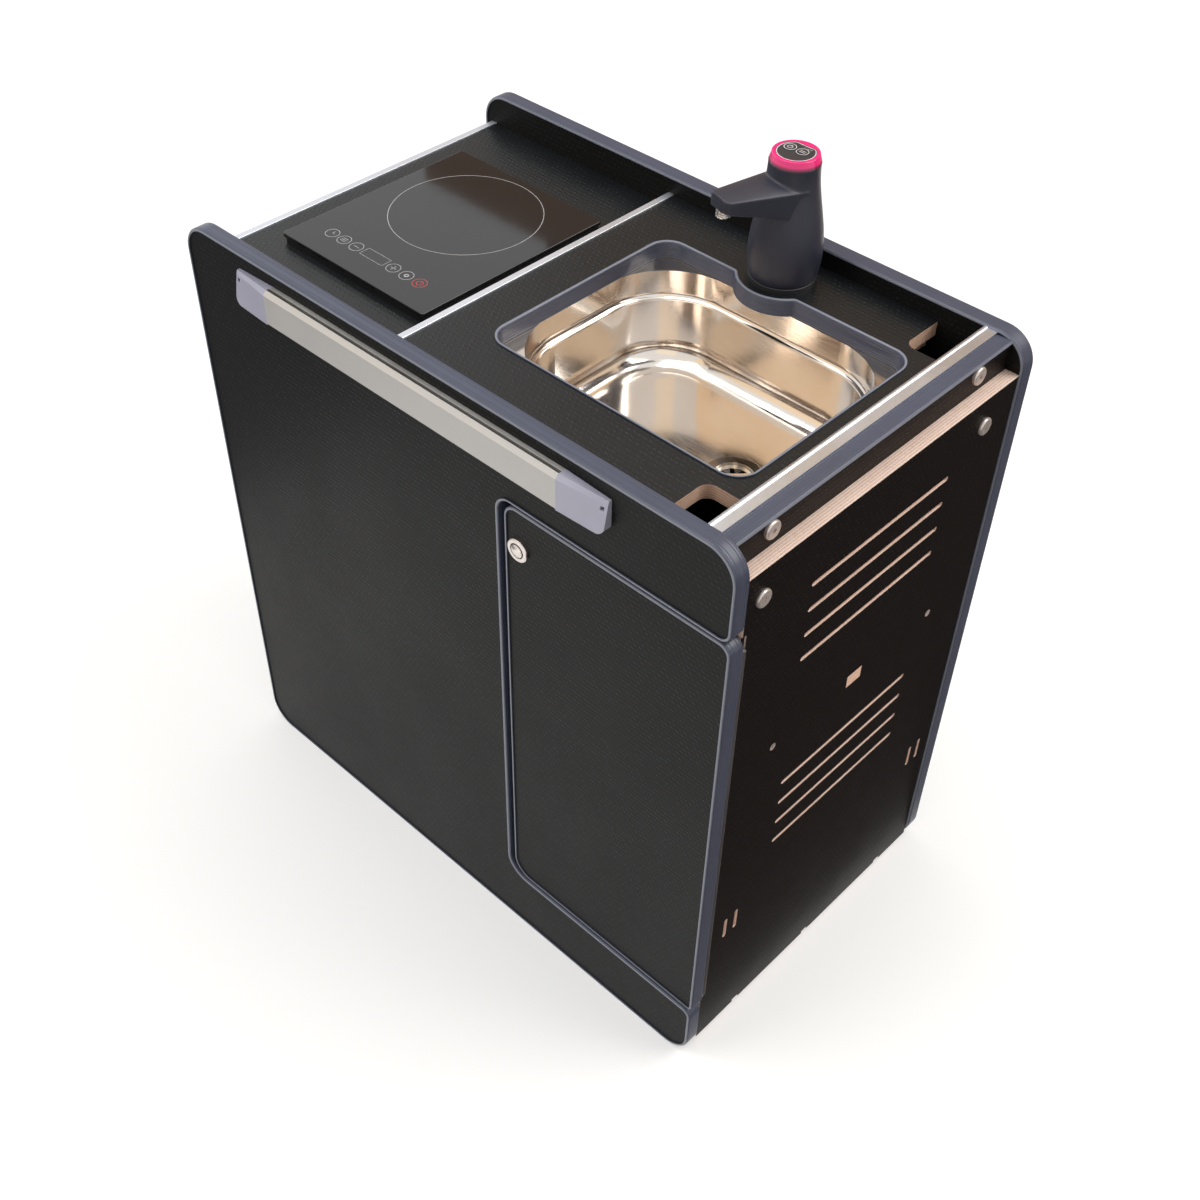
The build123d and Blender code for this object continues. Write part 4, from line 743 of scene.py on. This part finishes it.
def choose_faces(piece: bpy.types.Object, test: Callable[[Vector, Vector], bool]) -> None:
    """Selects the faces that pass a test, in edit mode.

    Args:
        piece: the piece that is open in edit mode.
        test: takes a face's middle and normal.
    """
    bpy.ops.mesh.select_all(action="DESELECT")
    bpy.ops.object.mode_set(mode="OBJECT")
    for face in piece.data.polygons:
        face.select = test(face.center, face.normal)
    bpy.ops.object.mode_set(mode="EDIT")


def choose_edges(piece: bpy.types.Object, test: Callable[[Vector, Vector], bool]) -> None:
    """Selects the edges that pass a test, in edit mode.

    Args:
        piece: the piece that is open in edit mode.
        test: takes an edge's two ends.
    """
    bpy.ops.mesh.select_all(action="DESELECT")
    bpy.ops.object.mode_set(mode="OBJECT")
    places = piece.data.vertices
    for edge in piece.data.edges:
        first, second = (places[i].co for i in edge.vertices)
        edge.select = test(first, second)
    bpy.ops.object.mode_set(mode="EDIT")


def modify(piece: bpy.types.Object, kind: str, **settings: Any) -> None:
    """Adds a modifier to a picked piece and applies it.

    Args:
        piece: the piece.
        kind: Blender's name of the modifier type.
        settings: properties to set on it.
    """
    bpy.ops.object.modifier_add(type=kind)
    made = piece.modifiers[-1]
    for key, value in settings.items():
        setattr(made, key, value)
    bpy.ops.object.modifier_apply(modifier=made.name)


def settle(piece: bpy.types.Object, name: str, body: str,
           dress: bpy.types.Material, stands_for: str = "") -> None:
    """Fixes a piece's place in its mesh, dresses it and lets it ride.

    Args:
        piece: the piece.
        name: its name.
        body: the CAD body it rides on.
        dress: its material.
        stands_for: CAD node that it replaces, if any.
    """
    pick(piece)
    bpy.ops.object.transform_apply(location=True, rotation=True, scale=True)
    piece.name = name
    piece.data.name = name
    piece.data.materials.clear()
    piece.data.materials.append(dress)
    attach(piece, body)
    if stands_for:
        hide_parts(stands_for)
    log.info("%s rides on %s, %d faces", name, body, len(piece.data.polygons))


def merge(parts: Sequence[bpy.types.Object]) -> bpy.types.Object:
    """Joins several meshes into the first one.

    Args:
        parts: the meshes.

    Returns:
        The joined mesh's object.
    """
    pick(parts[0])
    for part in parts:
        part.select_set(True)
    bpy.ops.object.join()
    return parts[0]


def printed_ring(centre: Vector, radius: float, width: float, sides: int = 64) -> bpy.types.Object:
    """Makes a thin printed ring that lies flat.

    Args:
        centre: its middle, on the surface.
        radius: its outer radius.
        width: its width.
        sides: its number of sides.

    Returns:
        The ring.
    """
    made = fresh(bpy.ops.mesh.primitive_circle_add, vertices=sides, radius=radius, location=centre)
    inner = (radius - width) / radius
    with editing(made, "EDGE"):
        choose_all()
        bpy.ops.mesh.extrude_edges_move()
        bpy.ops.transform.resize(value=(inner, inner, inner), center_override=centre)
        choose_all()
        bpy.ops.mesh.extrude_region_move(TRANSFORM_OT_translate={"value": (0, 0, INK_HEIGHT)})
        choose_all()
        bpy.ops.mesh.normals_make_consistent(inside=False)
    return made


def printed_stroke(start: Vector, end: Vector, width: float) -> bpy.types.Object:
    """Makes a thin printed stroke with round corners.

    Args:
        start: one end, on the surface.
        end: the other end.
        width: its width.

    Returns:
        The stroke.
    """
    run = end - start
    made = fresh(bpy.ops.mesh.primitive_cube_add, size=1, location=ORIGIN)
    with editing(made, "EDGE"):
        choose_all()
        bpy.ops.transform.resize(value=(run.length, width, INK_HEIGHT))
        choose_edges(made, lambda a, b: abs(a.z - b.z) > INK_HEIGHT / 2)
        bpy.ops.mesh.bevel(offset=width * 0.3, segments=2, affect="EDGES")
    middle = (start + end) / 2 + Vector((0, 0, INK_HEIGHT / 2))
    turn = Matrix.Rotation(math.atan2(run.y, run.x), 4, "Z")
    made.matrix_world = Matrix.Translation(middle) @ turn
    return made


def wear(dress: bpy.types.Material, *nodes: str) -> None:
    """Gives CAD nodes their material.

    Args:
        dress: the material.
        nodes: names of the nodes.
    """
    for node in nodes:
        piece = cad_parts[node]
        piece.data.materials.clear()
        piece.data.materials.append(dress)
        log.info("%s wears %s", node, dress.name)


def copy_node(node: str) -> bpy.types.Object:
    """Copies a CAD node's mesh and merges the doubled points of its triangles.

    Args:
        node: the node.

    Returns:
        The copy, free of any body and picked.
    """
    made = linked(node + "_copy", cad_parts[node].data.copy())
    pick(made)
    bpy.ops.mesh.customdata_custom_splitnormals_clear()
    with editing(made, "VERT"):
        choose_all()
        bpy.ops.mesh.remove_doubles(threshold=DOUBLED_WITHIN)
    return made


@dataclass
class Cabinet:
    """The boards of the pod, filmed on their faces and raw at their cut edges."""

    side: Film = Film(tone(20, 20, 20))
    # The worktops wear the same film, painted a little cooler and darker to offset a warm reflection.
    top: Film = Film(tone(17, 20, 22), gloss=0.34, mirror=0.42)
    # The end boards wear the same film, painted darker and warmer as painted shade, with paler ply edges
    # as painted highlight.
    end: Film = Film(tone(21, 17, 16), pale=tone(247, 225, 212), dark=tone(208, 167, 146))

    def build(self) -> None:
        """Dresses every board with film laid from its own face."""
        for film, thick, nodes in (
                (self.side, Axis.Y, ("front_board", "rear_board", "door_board")),
                (self.end, Axis.X, ("right_end_panel", "end_upstand")),
                (self.side, Axis.X, ("left_fascia", "partition_panel")),
                (self.top, Axis.Z, ("hob_worktop", "sink_worktop")),
                (self.side, Axis.Z, ("mid_shelf", "base_panel", "worktop_cleats"))):
            for node in nodes:
                laid = replace(film, thick=thick, low=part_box(node)[0][thick.value])
                wear(laid.build(node + "_film"), node)


@dataclass
class Trims:
    """The slate edge trims of the boards and of the sink's cut-out."""

    profiles: dict[str, Axis] = field(default_factory=lambda: {
        "front_trim": Axis.Y, "rear_trim": Axis.Y, "door_trim": Axis.Y,
        "upstand_trim": Axis.X, "sink_cutout_trim": Axis.Z})

    def build(self) -> None:
        """Dresses each trim with ribs about its own middle."""
        for node, across in self.profiles.items():
            low, high = (corner[across.value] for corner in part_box(node))
            wear(EdgeTrim(across, (low + high) / 2, (high - low) / 2).build(node + "_slate"), node)


@dataclass
class Rails:
    """The table rail with its caps, the side rail and the worktop strips."""

    table: DrawnMetal = DrawnMetal(tone(204, 203, 201), Axis.Z, 0.6)
    # The side rail and the strips are painted cooler to offset the warm reflection they pick up.
    side: DrawnMetal = DrawnMetal(tone(228, 236, 248), Axis.X, 0.3)
    strip: DrawnMetal = DrawnMetal(tone(230, 234, 242), Axis.X, 0.42)
    cap: Moulding = Moulding(tone(154, 154, 170), 0.36, coat=0.2)

    def build(self) -> None:
        """Dresses the extrusions and the caps."""
        wear(self.table.build("table_rail_anodised"), "table_rail")
        wear(self.side.build("side_rail_anodised"), "side_rail")
        wear(self.strip.build("strip_anodised"), "worktop_strips")
        wear(self.cap.build("cap_plastic"), "table_rail_caps")


@dataclass
class Fixings:
    """Screws, bolts, clips and the hinges."""

    zinc: Moulding = Moulding(tone(206, 195, 189), 0.32, relief=0.00002, metal=0.6)
    leaf: DrawnMetal = DrawnMetal(tone(190, 190, 192), Axis.X, 0.34)

    def build(self) -> None:
        """Dresses the metal fixings."""
        wear(self.zinc.build("zinc_bright"), "rail_bolts", "end_panel_screws", "shelf_screws",
             "pan_clips", "hinge_pin", "lock_keeper", "fridge_hinges")
        wear(self.leaf.build("hinge_metal"), "hinge_leaf_frame", "hinge_leaf_door")


@dataclass
class Sink:
    """The pressed pan with its waste, seals, hoses and water cans."""

    pan: PressedSteel = PressedSteel()
    flange: PressedSteel = PressedSteel(tone(176, 166, 156), 0.14)
    strainer: PressedSteel = PressedSteel(tone(236, 232, 226), 0.12)
    rubber: Moulding = Moulding(tone(38, 38, 38), 0.7)
    cup: Moulding = Moulding(tone(40, 40, 42), 0.45)
    hose: Moulding = Moulding(tone(196, 200, 202), 0.35)
    can: Moulding = Moulding(tone(218, 220, 218), 0.42, relief=0.0001)
    cap: Moulding = Moulding(tone(36, 36, 38), 0.5)

    def build(self) -> None:
        """Dresses the pan, the waste and what is under the worktop."""
        wear(self.pan.build("pan_steel"), "sink_pan")
        wear(self.flange.build("flange_steel"), "drain_flange")
        wear(self.strainer.build("strainer_steel"), "strainer")
        wear(self.rubber.build("seal_rubber"), "pan_gasket", "fridge_gasket")
        wear(self.cup.build("waste_plastic"), "waste_cup")
        wear(self.hose.build("hose_plastic"), "waste_hose", "tap_hose")
        wear(self.can.build("can_plastic"), "waste_can", "fresh_can")
        wear(self.cap.build("can_cap_plastic"), "waste_can_cap", "fresh_can_cap")


@dataclass
class Tap:
    """The docked tap: column and spout, light ring, face and touch keys."""

    graphite: Moulding = Moulding(tone(41, 42, 54), 0.38, relief=0.00002)
    face: Moulding = Moulding(tone(43, 44, 50), 0.3, coat=0.3)
    ink: Moulding = Moulding(tone(206, 204, 206), 0.35, relief=0.0)
    dock: Moulding = Moulding(tone(34, 34, 37), 0.4)
    nut: Moulding = Moulding(tone(36, 36, 38), 0.5)
    chrome: DrawnMetal = DrawnMetal(tone(240, 240, 240), Axis.Z, 0.14)
    # How far the ring's painted shade reaches above its foot, and where its painted highlight begins below
    # its head.
    shaded_to: float = 0.0008
    lit_from: float = 0.0045
    voxel: float = 0.0008
    softening: int = 6
    axis: tuple[float, float] = (0.106, 0.159)
    outline: float = 0.0184
    outline_width: float = 0.0008
    outline_sides: int = 96
    chord: float = 0.0149
    lights: tuple[float, ...] = (0.001, 0.0045, 0.0065, 0.0085)
    lights_in: float = 0.0036
    light: tuple[float, float] = (0.0011, 0.0007)
    key_ring: float = 0.0061
    hand: tuple[float, float] = (0.001, 0.0036)
    bar_out: float = 0.0012
    sign_sides: int = 40
    flutes: int = 14
    flute_gap: float = 0.0002
    flute_depth: float = 0.0008
    mouth_wall: float = 0.0016
    mouth_slope: float = 0.0003
    mouth_depth: float = 0.002

    def build(self) -> None:
        """Builds the blended body, the aerator and the marks, and dresses the rest."""
        self.body()
        self.aerator()
        ink = self.ink.build("face_ink")
        self.face_marks(ink)
        self.key_marks(ink)
        wear(self.dock.build("dock_plastic"), "tap_dock")
        wear(self.nut.build("nut_plastic"), "dock_nut")
        foot, head = (corner.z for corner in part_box("tap_light_ring"))
        lit = LitRing(foot + self.shaded_to, head - self.lit_from)
        wear(lit.build("ring_magenta"), "tap_light_ring")
        wear(self.face.build("face_dark"), "tap_face", "tap_key_left", "tap_key_right")

    def body(self) -> None:
        """Remeshes the column and spout so that they flow into each other."""
        made = copy_node("tap_body")
        modify(made, "REMESH", mode="VOXEL", voxel_size=self.voxel)
        modify(made, "SMOOTH", factor=0.5, iterations=self.softening)
        bpy.ops.object.shade_smooth()
        settle(made, "tap_shell", "tap", self.graphite.build("tap_graphite"), "tap_body")

    def aerator(self) -> None:
        """Builds the fluted chrome aerator under the spout's end."""
        low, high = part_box("tap_nozzle")
        half = (high - low) / 2
        sides = 2 * self.flutes
        made = fresh(bpy.ops.mesh.primitive_cylinder_add, vertices=sides, radius=half.x,
                     depth=2 * half.z, location=(low + high) / 2)

        def fluted(at: Vector, out: Vector) -> bool:
            """Tells every other face round the side."""
            step = int((math.atan2(at.y, at.x) % math.tau) / (math.tau / sides))
            return abs(out.z) < 0.5 and step % 2 == 0

        with editing(made):
            choose_faces(made, fluted)
            bpy.ops.mesh.inset(thickness=self.flute_gap, depth=-self.flute_depth, use_individual=True)
            choose_faces(made, lambda at, out: out.z < -0.9 and at.z < -half.z * 0.9)
            bpy.ops.mesh.inset(thickness=self.mouth_wall)
            bpy.ops.mesh.inset(thickness=self.mouth_slope, depth=-self.mouth_depth)
        settle(made, "tap_aerator", "tap", self.chrome.build("aerator_chrome"), "tap_nozzle")

    def face_marks(self, ink: bpy.types.Material) -> None:
        """Prints the outline of the face and a row of small lights.

        Args:
            ink: material of the print.
        """
        centre = Vector((*self.axis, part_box("tap_face")[1].z))
        ring = printed_ring(centre, self.outline, self.outline_width, self.outline_sides)
        with editing(ring):
            choose_all()
            bpy.ops.mesh.bisect(plane_co=centre + BACK * self.chord, plane_no=BACK,
                                use_fill=True, clear_outer=True)
        reach = RIGHT * math.sqrt(self.outline ** 2 - self.chord ** 2)
        back = centre + BACK * (self.chord - self.outline_width / 2)
        parts = [ring, printed_stroke(back - reach, back + reach, self.outline_width)]
        for place in self.lights:
            at = centre + Vector((place, self.chord - self.lights_in, 0))
            parts.append(printed_stroke(at, at + RIGHT * self.light[0], self.light[1]))
        settle(merge(parts), "tap_face_marks", "tap", ink)

    def key_marks(self, ink: bpy.types.Material) -> None:
        """Prints a ring and a plain sign on each of the two keys.

        Args:
            ink: material of the print.
        """
        fine, reach = self.outline_width * 0.75, self.key_ring * 0.45
        arm = RIGHT * (self.key_ring * 0.55)
        foot, head = (BACK * way for way in self.hand)
        for node in ("tap_key_left", "tap_key_right"):
            low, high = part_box(node)
            centre = Vector(((low.x + high.x) / 2, (low.y + high.y) / 2, high.z))
            parts = [printed_ring(centre, self.key_ring, fine)]
            if node == "tap_key_left":
                parts.append(printed_ring(centre, reach, fine, self.sign_sides))
                parts.append(printed_stroke(centre + foot, centre + head, self.outline_width))
            else:
                for bar in (centre - BACK * self.bar_out, centre + BACK * self.bar_out):
                    parts.append(printed_stroke(bar - arm, bar + arm, self.outline_width * 0.8))
            settle(merge(parts), node + "_mark", node, ink)


@dataclass
class Hob:
    """The drop-in hob: glass plate, printed marks and the case below."""

    glass: Glass = Glass(tone(16, 16, 18))
    case: Moulding = Moulding(tone(20, 20, 22), 0.35)
    white: Moulding = Moulding(tone(158, 158, 160), 0.4, relief=0.0)
    red: Moulding = Moulding(tone(176, 66, 66), 0.4, relief=0.0)
    corner: float = 0.003
    corner_steps: int = 6
    polish: float = 0.0008
    polish_steps: int = 3
    ring: float = 0.080
    ring_place: tuple[float, float] = (-0.201, 0.028)
    ring_sides: int = 128
    line: float = 0.0007
    key: float = 0.0077
    key_row: float = -0.0925
    keys: dict[float, Print] = field(default_factory=lambda: {
        -0.2668: Print.CLOCK, -0.2486: Print.BARS, -0.2300: Print.MINUS,
        -0.1745: Print.PLUS, -0.1553: Print.DOT, -0.1361: Print.POWER})
    dot_sides: int = 32
    sign_sides: int = 40
    window: tuple[float, float] = (0.0165, 0.0065)
    window_place: tuple[float, float] = (-0.2024, 0.001)
    window_line: float = 0.0005

    def build(self) -> None:
        """Builds the glass and its marks."""
        self.plate()
        wear(self.case.build("case_enamel"), "hob_case")
        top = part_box("hob_glass")[1].z
        marks = [printed_ring(Vector((*self.ring_place, top)), self.ring, self.line, self.ring_sides)]
        warm = []
        for x, sign in self.keys.items():
            into = warm if sign is Print.POWER else marks
            into.extend(self.touch_key(Vector((x, self.key_row, top)), sign))
        across, back = self.window_place
        marks.extend(self.display(Vector((across, self.key_row + back, top))))
        settle(merge(marks), "hob_marks", "cabinet", self.white.build("white_ink"))
        settle(merge(warm), "hob_power_mark", "cabinet", self.red.build("red_ink"))

    def plate(self) -> None:
        """Builds the glass plate with round corners and a polished edge."""
        low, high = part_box("hob_glass")
        middle, size = (low + high) / 2, high - low
        made = fresh(bpy.ops.mesh.primitive_cube_add, size=1, location=middle)
        with editing(made, "EDGE"):
            choose_all()
            bpy.ops.transform.resize(value=tuple(size), center_override=middle)
            choose_edges(made, lambda a, b: abs(a.z - b.z) > size.z / 2)
            bpy.ops.mesh.bevel(offset=self.corner, segments=self.corner_steps, affect="EDGES")
            choose_edges(made, lambda a, b: min(a.z, b.z) > size.z / 4)
            bpy.ops.mesh.bevel(offset=self.polish, segments=self.polish_steps, affect="EDGES")
        pick(made)
        bpy.ops.object.shade_smooth_by_angle(angle=SMOOTH_BELOW)
        modify(made, "WEIGHTED_NORMAL")
        settle(made, "hob_plate", "cabinet", self.glass.build("hob_black_glass"), "hob_glass")

    def touch_key(self, centre: Vector, sign: Print) -> list[bpy.types.Object]:
        """Makes one round key outline with its sign.

        Args:
            centre: its middle, on the glass.
            sign: the sign inside it.

        Returns:
            The printed parts.
        """
        reach = self.key * 0.5
        right, up = RIGHT * reach, BACK * reach
        bar = (centre - right, centre + right)
        strokes = {
            Print.CLOCK: [(centre, centre + up), (centre, centre + right * 0.8)],
            Print.BARS: [(bar[0] + up * k, bar[1] + up * k) for k in (-0.6, 0.0, 0.6)],
            Print.MINUS: [bar],
            Print.PLUS: [bar, (centre - up, centre + up)],
            Print.DOT: [],
            Print.POWER: [(centre, centre + up * 1.1)]}
        parts = [printed_ring(centre, self.key, self.line)]
        if sign is Print.DOT:
            parts.append(printed_ring(centre, reach * 0.7, reach * 0.4, self.dot_sides))
        elif sign is Print.POWER:
            parts.append(printed_ring(centre, reach, self.line, self.sign_sides))
        return parts + [printed_stroke(a, b, self.line) for a, b in strokes[sign]]

    def display(self, centre: Vector) -> list[bpy.types.Object]:
        """Makes the outline of the display window.

        Args:
            centre: its middle, on the glass.

        Returns:
            The printed parts.
        """
        wide, high = RIGHT * self.window[0], BACK * self.window[1]
        corners = [centre - wide - high, centre + wide - high, centre + wide + high, centre - wide + high]
        return [printed_stroke(a, b, self.window_line) for a, b in zip(corners, corners[1:] + corners[:1])]


@dataclass
class Lock:
    """The push lock of the locker door, with its domed button."""

    nickel: DrawnMetal = DrawnMetal(tone(226, 218, 212), Axis.Y, 0.24)
    # The button behind the dome is the same nickel, painted dark as painted shade in the groove round the
    # dome.
    groove_shade: Moulding = Moulding(tone(96, 84, 80), 0.4, metal=0.6)
    plastic: Moulding = Moulding(tone(34, 34, 36), 0.45)
    radius: float = 0.0069
    rise: float = 0.0018
    skirt: float = 0.0026

    def build(self) -> None:
        """Dresses the push lock and builds its domed button."""
        nickel = self.nickel.build("lock_nickel")
        wear(nickel, "lock_rosette")
        wear(self.groove_shade.build("lock_button_shade"), "lock_button")
        self.dome(nickel)
        wear(self.plastic.build("lock_plastic"), "lock_case", "lock_latch")

    def dome(self, nickel: bpy.types.Material) -> None:
        """Builds the shallow dome on the front of the button.

        Args:
            nickel: material of the dome.
        """
        low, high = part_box("lock_button")
        front = Vector(((low.x + high.x) / 2, low.y - self.skirt, (low.z + high.z) / 2))
        ball = (self.radius ** 2 + self.rise ** 2) / (2 * self.rise)
        made = fresh(bpy.ops.mesh.primitive_uv_sphere_add, segments=64, ring_count=72, radius=ball,
                     location=front + BACK * (ball - self.rise), rotation=(QUARTER_TURN, 0, 0))
        with editing(made):
            choose_all()
            bpy.ops.mesh.bisect(plane_co=front, plane_no=BACK, use_fill=True, clear_outer=True)
            bpy.ops.mesh.extrude_region_move(TRANSFORM_OT_translate={"value": BACK * self.skirt})
        pick(made)
        bpy.ops.object.shade_smooth_by_angle(angle=SMOOTH_BELOW)
        settle(made, "lock_dome", "lock_button", nickel)


@dataclass
class Fridge:
    """The fridge in the left bay with its cooling unit."""

    skin: Moulding = Moulding(tone(70, 70, 73), 0.42, relief=0.00008)
    shelf: Glass = Glass(tone(214, 224, 222), 0.08, 0.85)
    enamel: Moulding = Moulding(tone(24, 24, 25), 0.35)

    def build(self) -> None:
        """Dresses the fridge."""
        wear(self.skin.build("fridge_skin"), "fridge_cabinet", "fridge_door")
        wear(self.shelf.build("shelf_glass"), "fridge_shelves")
        wear(self.enamel.build("compressor_enamel"), "compressor")


def cleared(owner: bpy.types.Material | bpy.types.World) -> Graph:
    """Opens the node tree of a material or a world with nothing in it.

    Args:
        owner: the material or the world.

    Returns:
        The tree's graph.
    """
    owner.use_nodes = True
    owner.node_tree.nodes.clear()
    return Graph(owner.node_tree)


@dataclass(frozen=True)
class Card:
    """A large card that only gloss sees, as a wall or a flag of a studio."""

    name: str
    middle: tuple[float, float, float]
    half: tuple[float, float]
    glow: tuple[float, float, float]
    upright: bool = False

    def hang(self) -> None:
        """Hangs the card, seen only by gloss."""
        made = fresh(bpy.ops.mesh.primitive_plane_add, size=2, location=self.middle,
                     rotation=(QUARTER_TURN if self.upright else 0.0, 0, 0))
        made.name = self.name
        made.scale = (*self.half, 1.0)
        for sight in ("camera", "diffuse", "transmission", "volume_scatter", "shadow"):
            setattr(made, "visible_" + sight, False)
        dress = bpy.data.materials.new(self.name)
        graph = cleared(dress)
        light = graph.fill(graph.node("ShaderNodeEmission"), Color=(*self.glow, 1.0))
        graph.node("ShaderNodeOutputMaterial", light.outputs[0])
        made.data.materials.append(dress)


@dataclass(frozen=True)
class Lamp:
    """A square soft lamp that points at the pod."""

    name: str
    place: tuple[float, float, float]
    size: float
    watts: float
    colour: tuple[float, float, float]
    glints: bool = True
    aim: tuple[float, float, float] = (0.0, 0.0, 0.4)

    def hang(self) -> None:
        """Hangs the lamp and turns it to its aim."""
        light = bpy.data.lights.new(self.name, "AREA")
        light.size = self.size
        light.energy = self.watts
        light.color = self.colour
        made = linked(self.name, light)
        made.location = self.place
        made.visible_glossy = self.glints
        made.rotation_mode = "QUATERNION"
        way = Vector(self.aim) - Vector(self.place)
        made.rotation_quaternion = way.to_track_quat("-Z", "Y")


@dataclass
class Studio:
    """The pale floor, the world, the cards, the soft lamps and the camera."""

    cards: tuple[Card, ...] = (
        Card("brown_wall", (0.07, 2.2, 1.25), (2.93, 1.25), (0.36, 0.24, 0.17), True),
        Card("warm_screen", (-0.85, 2.4, 3.6), (1.6, 1.05), (0.9, 0.67, 0.45), True),
        Card("dark_edge", (-2.27, 2.38, 3.3), (0.18, 0.75), (0.20, 0.20, 0.20), True),
        Card("dark_band", (-1.80, 2.38, 3.3), (0.13, 0.75), (0.07, 0.07, 0.07), True),
        Card("front_screen", (-1.8, -2.3, 2.1), (1.35, 1.2), (1.15, 0.93, 0.68), True),
        Card("bright_screen", (2.1, -1.9, 2.4), (1.1, 0.9), (1.2, 1.08, 0.92), True),
        Card("right_flag", (2.37, 0.6, 0.004), (2.0, 2.2), (0.09, 0.075, 0.07)),
        Card("left_flag", (-2.55, -0.9, 0.004), (1.8, 2.2), (0.28, 0.28, 0.30)))
    lamps: tuple[Lamp, ...] = (
        Lamp("key", (1.5, 1.3, 2.5), 2.0, 46.0, (1.0, 0.985, 0.965)),
        Lamp("fill", (-1.6, -2.2, 1.9), 2.4, 34.0, (0.97, 0.985, 1.0), glints=False),
        Lamp("top", (-0.4, -0.3, 2.9), 1.6, 20.0, (1.0, 1.0, 1.0)))
    floor_size: float = 30.0
    floor_shade: Colour = (0.8, 0.8, 0.8, 1.0)
    floor_seen: Colour = (0.75, 0.75, 0.75, 1.0)
    room_low: Colour = tone(186, 180, 174)
    room_high: Colour = tone(255, 250, 242)
    room_light: float = 0.62
    lens: float = 45.83
    sensor: float = 36.0
    eye: tuple[float, float, float] = (0.8527, -0.903, 1.4902)
    right: tuple[float, float, float] = (0.7248, 0.6888, 0.0182)
    up: tuple[float, float, float] = (-0.4857, 0.4920, 0.7225)

    def build(self) -> None:
        """Sets the stage."""
        self.floor()
        self.world()
        for thing in self.cards + self.lamps:
            thing.hang()
        self.camera()
        bpy.context.scene.view_settings.view_transform = "Standard"

    def floor(self) -> None:
        """Lays a pale floor that keeps the shadow and shows white to the camera."""
        made = fresh(bpy.ops.mesh.primitive_plane_add, size=self.floor_size, location=ORIGIN)
        made.name = "floor"
        dress = bpy.data.materials.new("floor_white")
        graph = cleared(dress)
        plain = graph.node("ShaderNodeBsdfDiffuse", self.floor_shade)
        lit = graph.node("ShaderNodeBsdfDiffuse", self.floor_seen)
        place = graph.node("ShaderNodeTexCoord").outputs["Object"]
        away = graph.node("ShaderNodeVectorMath", place, operation="LENGTH").outputs["Value"]
        glow = graph.fill(graph.node("ShaderNodeEmission"),
                          Strength=graph.between(away, 0.9, 3.2, 0.33, 0.62))
        both = graph.node("ShaderNodeAddShader", lit.outputs[0], glow.outputs[0])
        mixed = graph.node("ShaderNodeMixShader", self.seen(graph), plain.outputs[0], both.outputs[0])
        graph.node("ShaderNodeOutputMaterial", mixed.outputs[0])
        made.data.materials.append(dress)

    def world(self) -> None:
        """Fills the room with soft light, white where the camera looks past the pod."""
        room = bpy.data.worlds.new("room")
        bpy.context.scene.world = room
        graph = cleared(room)
        up = graph.split(graph.node("ShaderNodeTexCoord").outputs["Generated"])[Axis.Z.value]
        colour = graph.blend(graph.between(up, -0.2, 0.9, 0.0, 1.0), self.room_low, self.room_high)
        soft = graph.fill(graph.node("ShaderNodeBackground"), Color=colour, Strength=self.room_light)
        white = graph.fill(graph.node("ShaderNodeBackground"), Color=WHITE)
        mixed = graph.node("ShaderNodeMixShader", self.seen(graph), soft.outputs[0], white.outputs[0])
        graph.node("ShaderNodeOutputWorld", mixed.outputs[0])

    def seen(self, graph: Graph) -> Socket:
        """Tells the rays that show the background: seen, mirrored or let through.

        Args:
            graph: the graph of the floor or the world.

        Returns:
            A mask that is 1 for those rays.
        """
        path = graph.node("ShaderNodeLightPath").outputs
        shown = graph.calc("MAXIMUM", path["Is Camera Ray"], path["Is Glossy Ray"])
        return graph.calc("MAXIMUM", shown, path["Is Transmission Ray"])

    def camera(self) -> None:
        """Sets the camera where the photograph was taken from."""
        lens = bpy.data.cameras.new("camera")
        lens.lens = self.lens
        lens.sensor_width = self.sensor
        made = linked("camera", lens)
        right = Vector(self.right).normalized()
        back = right.cross(Vector(self.up)).normalized()
        turn = Matrix((right, back.cross(right), back)).transposed()
        made.matrix_world = Matrix.Translation(self.eye) @ turn.to_4x4()
        bpy.context.scene.camera = made


def main() -> None:
    """Builds the pod's looks in order."""
    logging.basicConfig(level=logging.INFO, format="%(name)s: %(message)s")
    for part in (Studio(), Cabinet(), Trims(), Rails(), Fixings(), Sink(), Tap(), Hob(), Lock(), Fridge()):
        part.build()
        log.info("%s done", type(part).__name__)


if __name__ == "__main__":
    main()
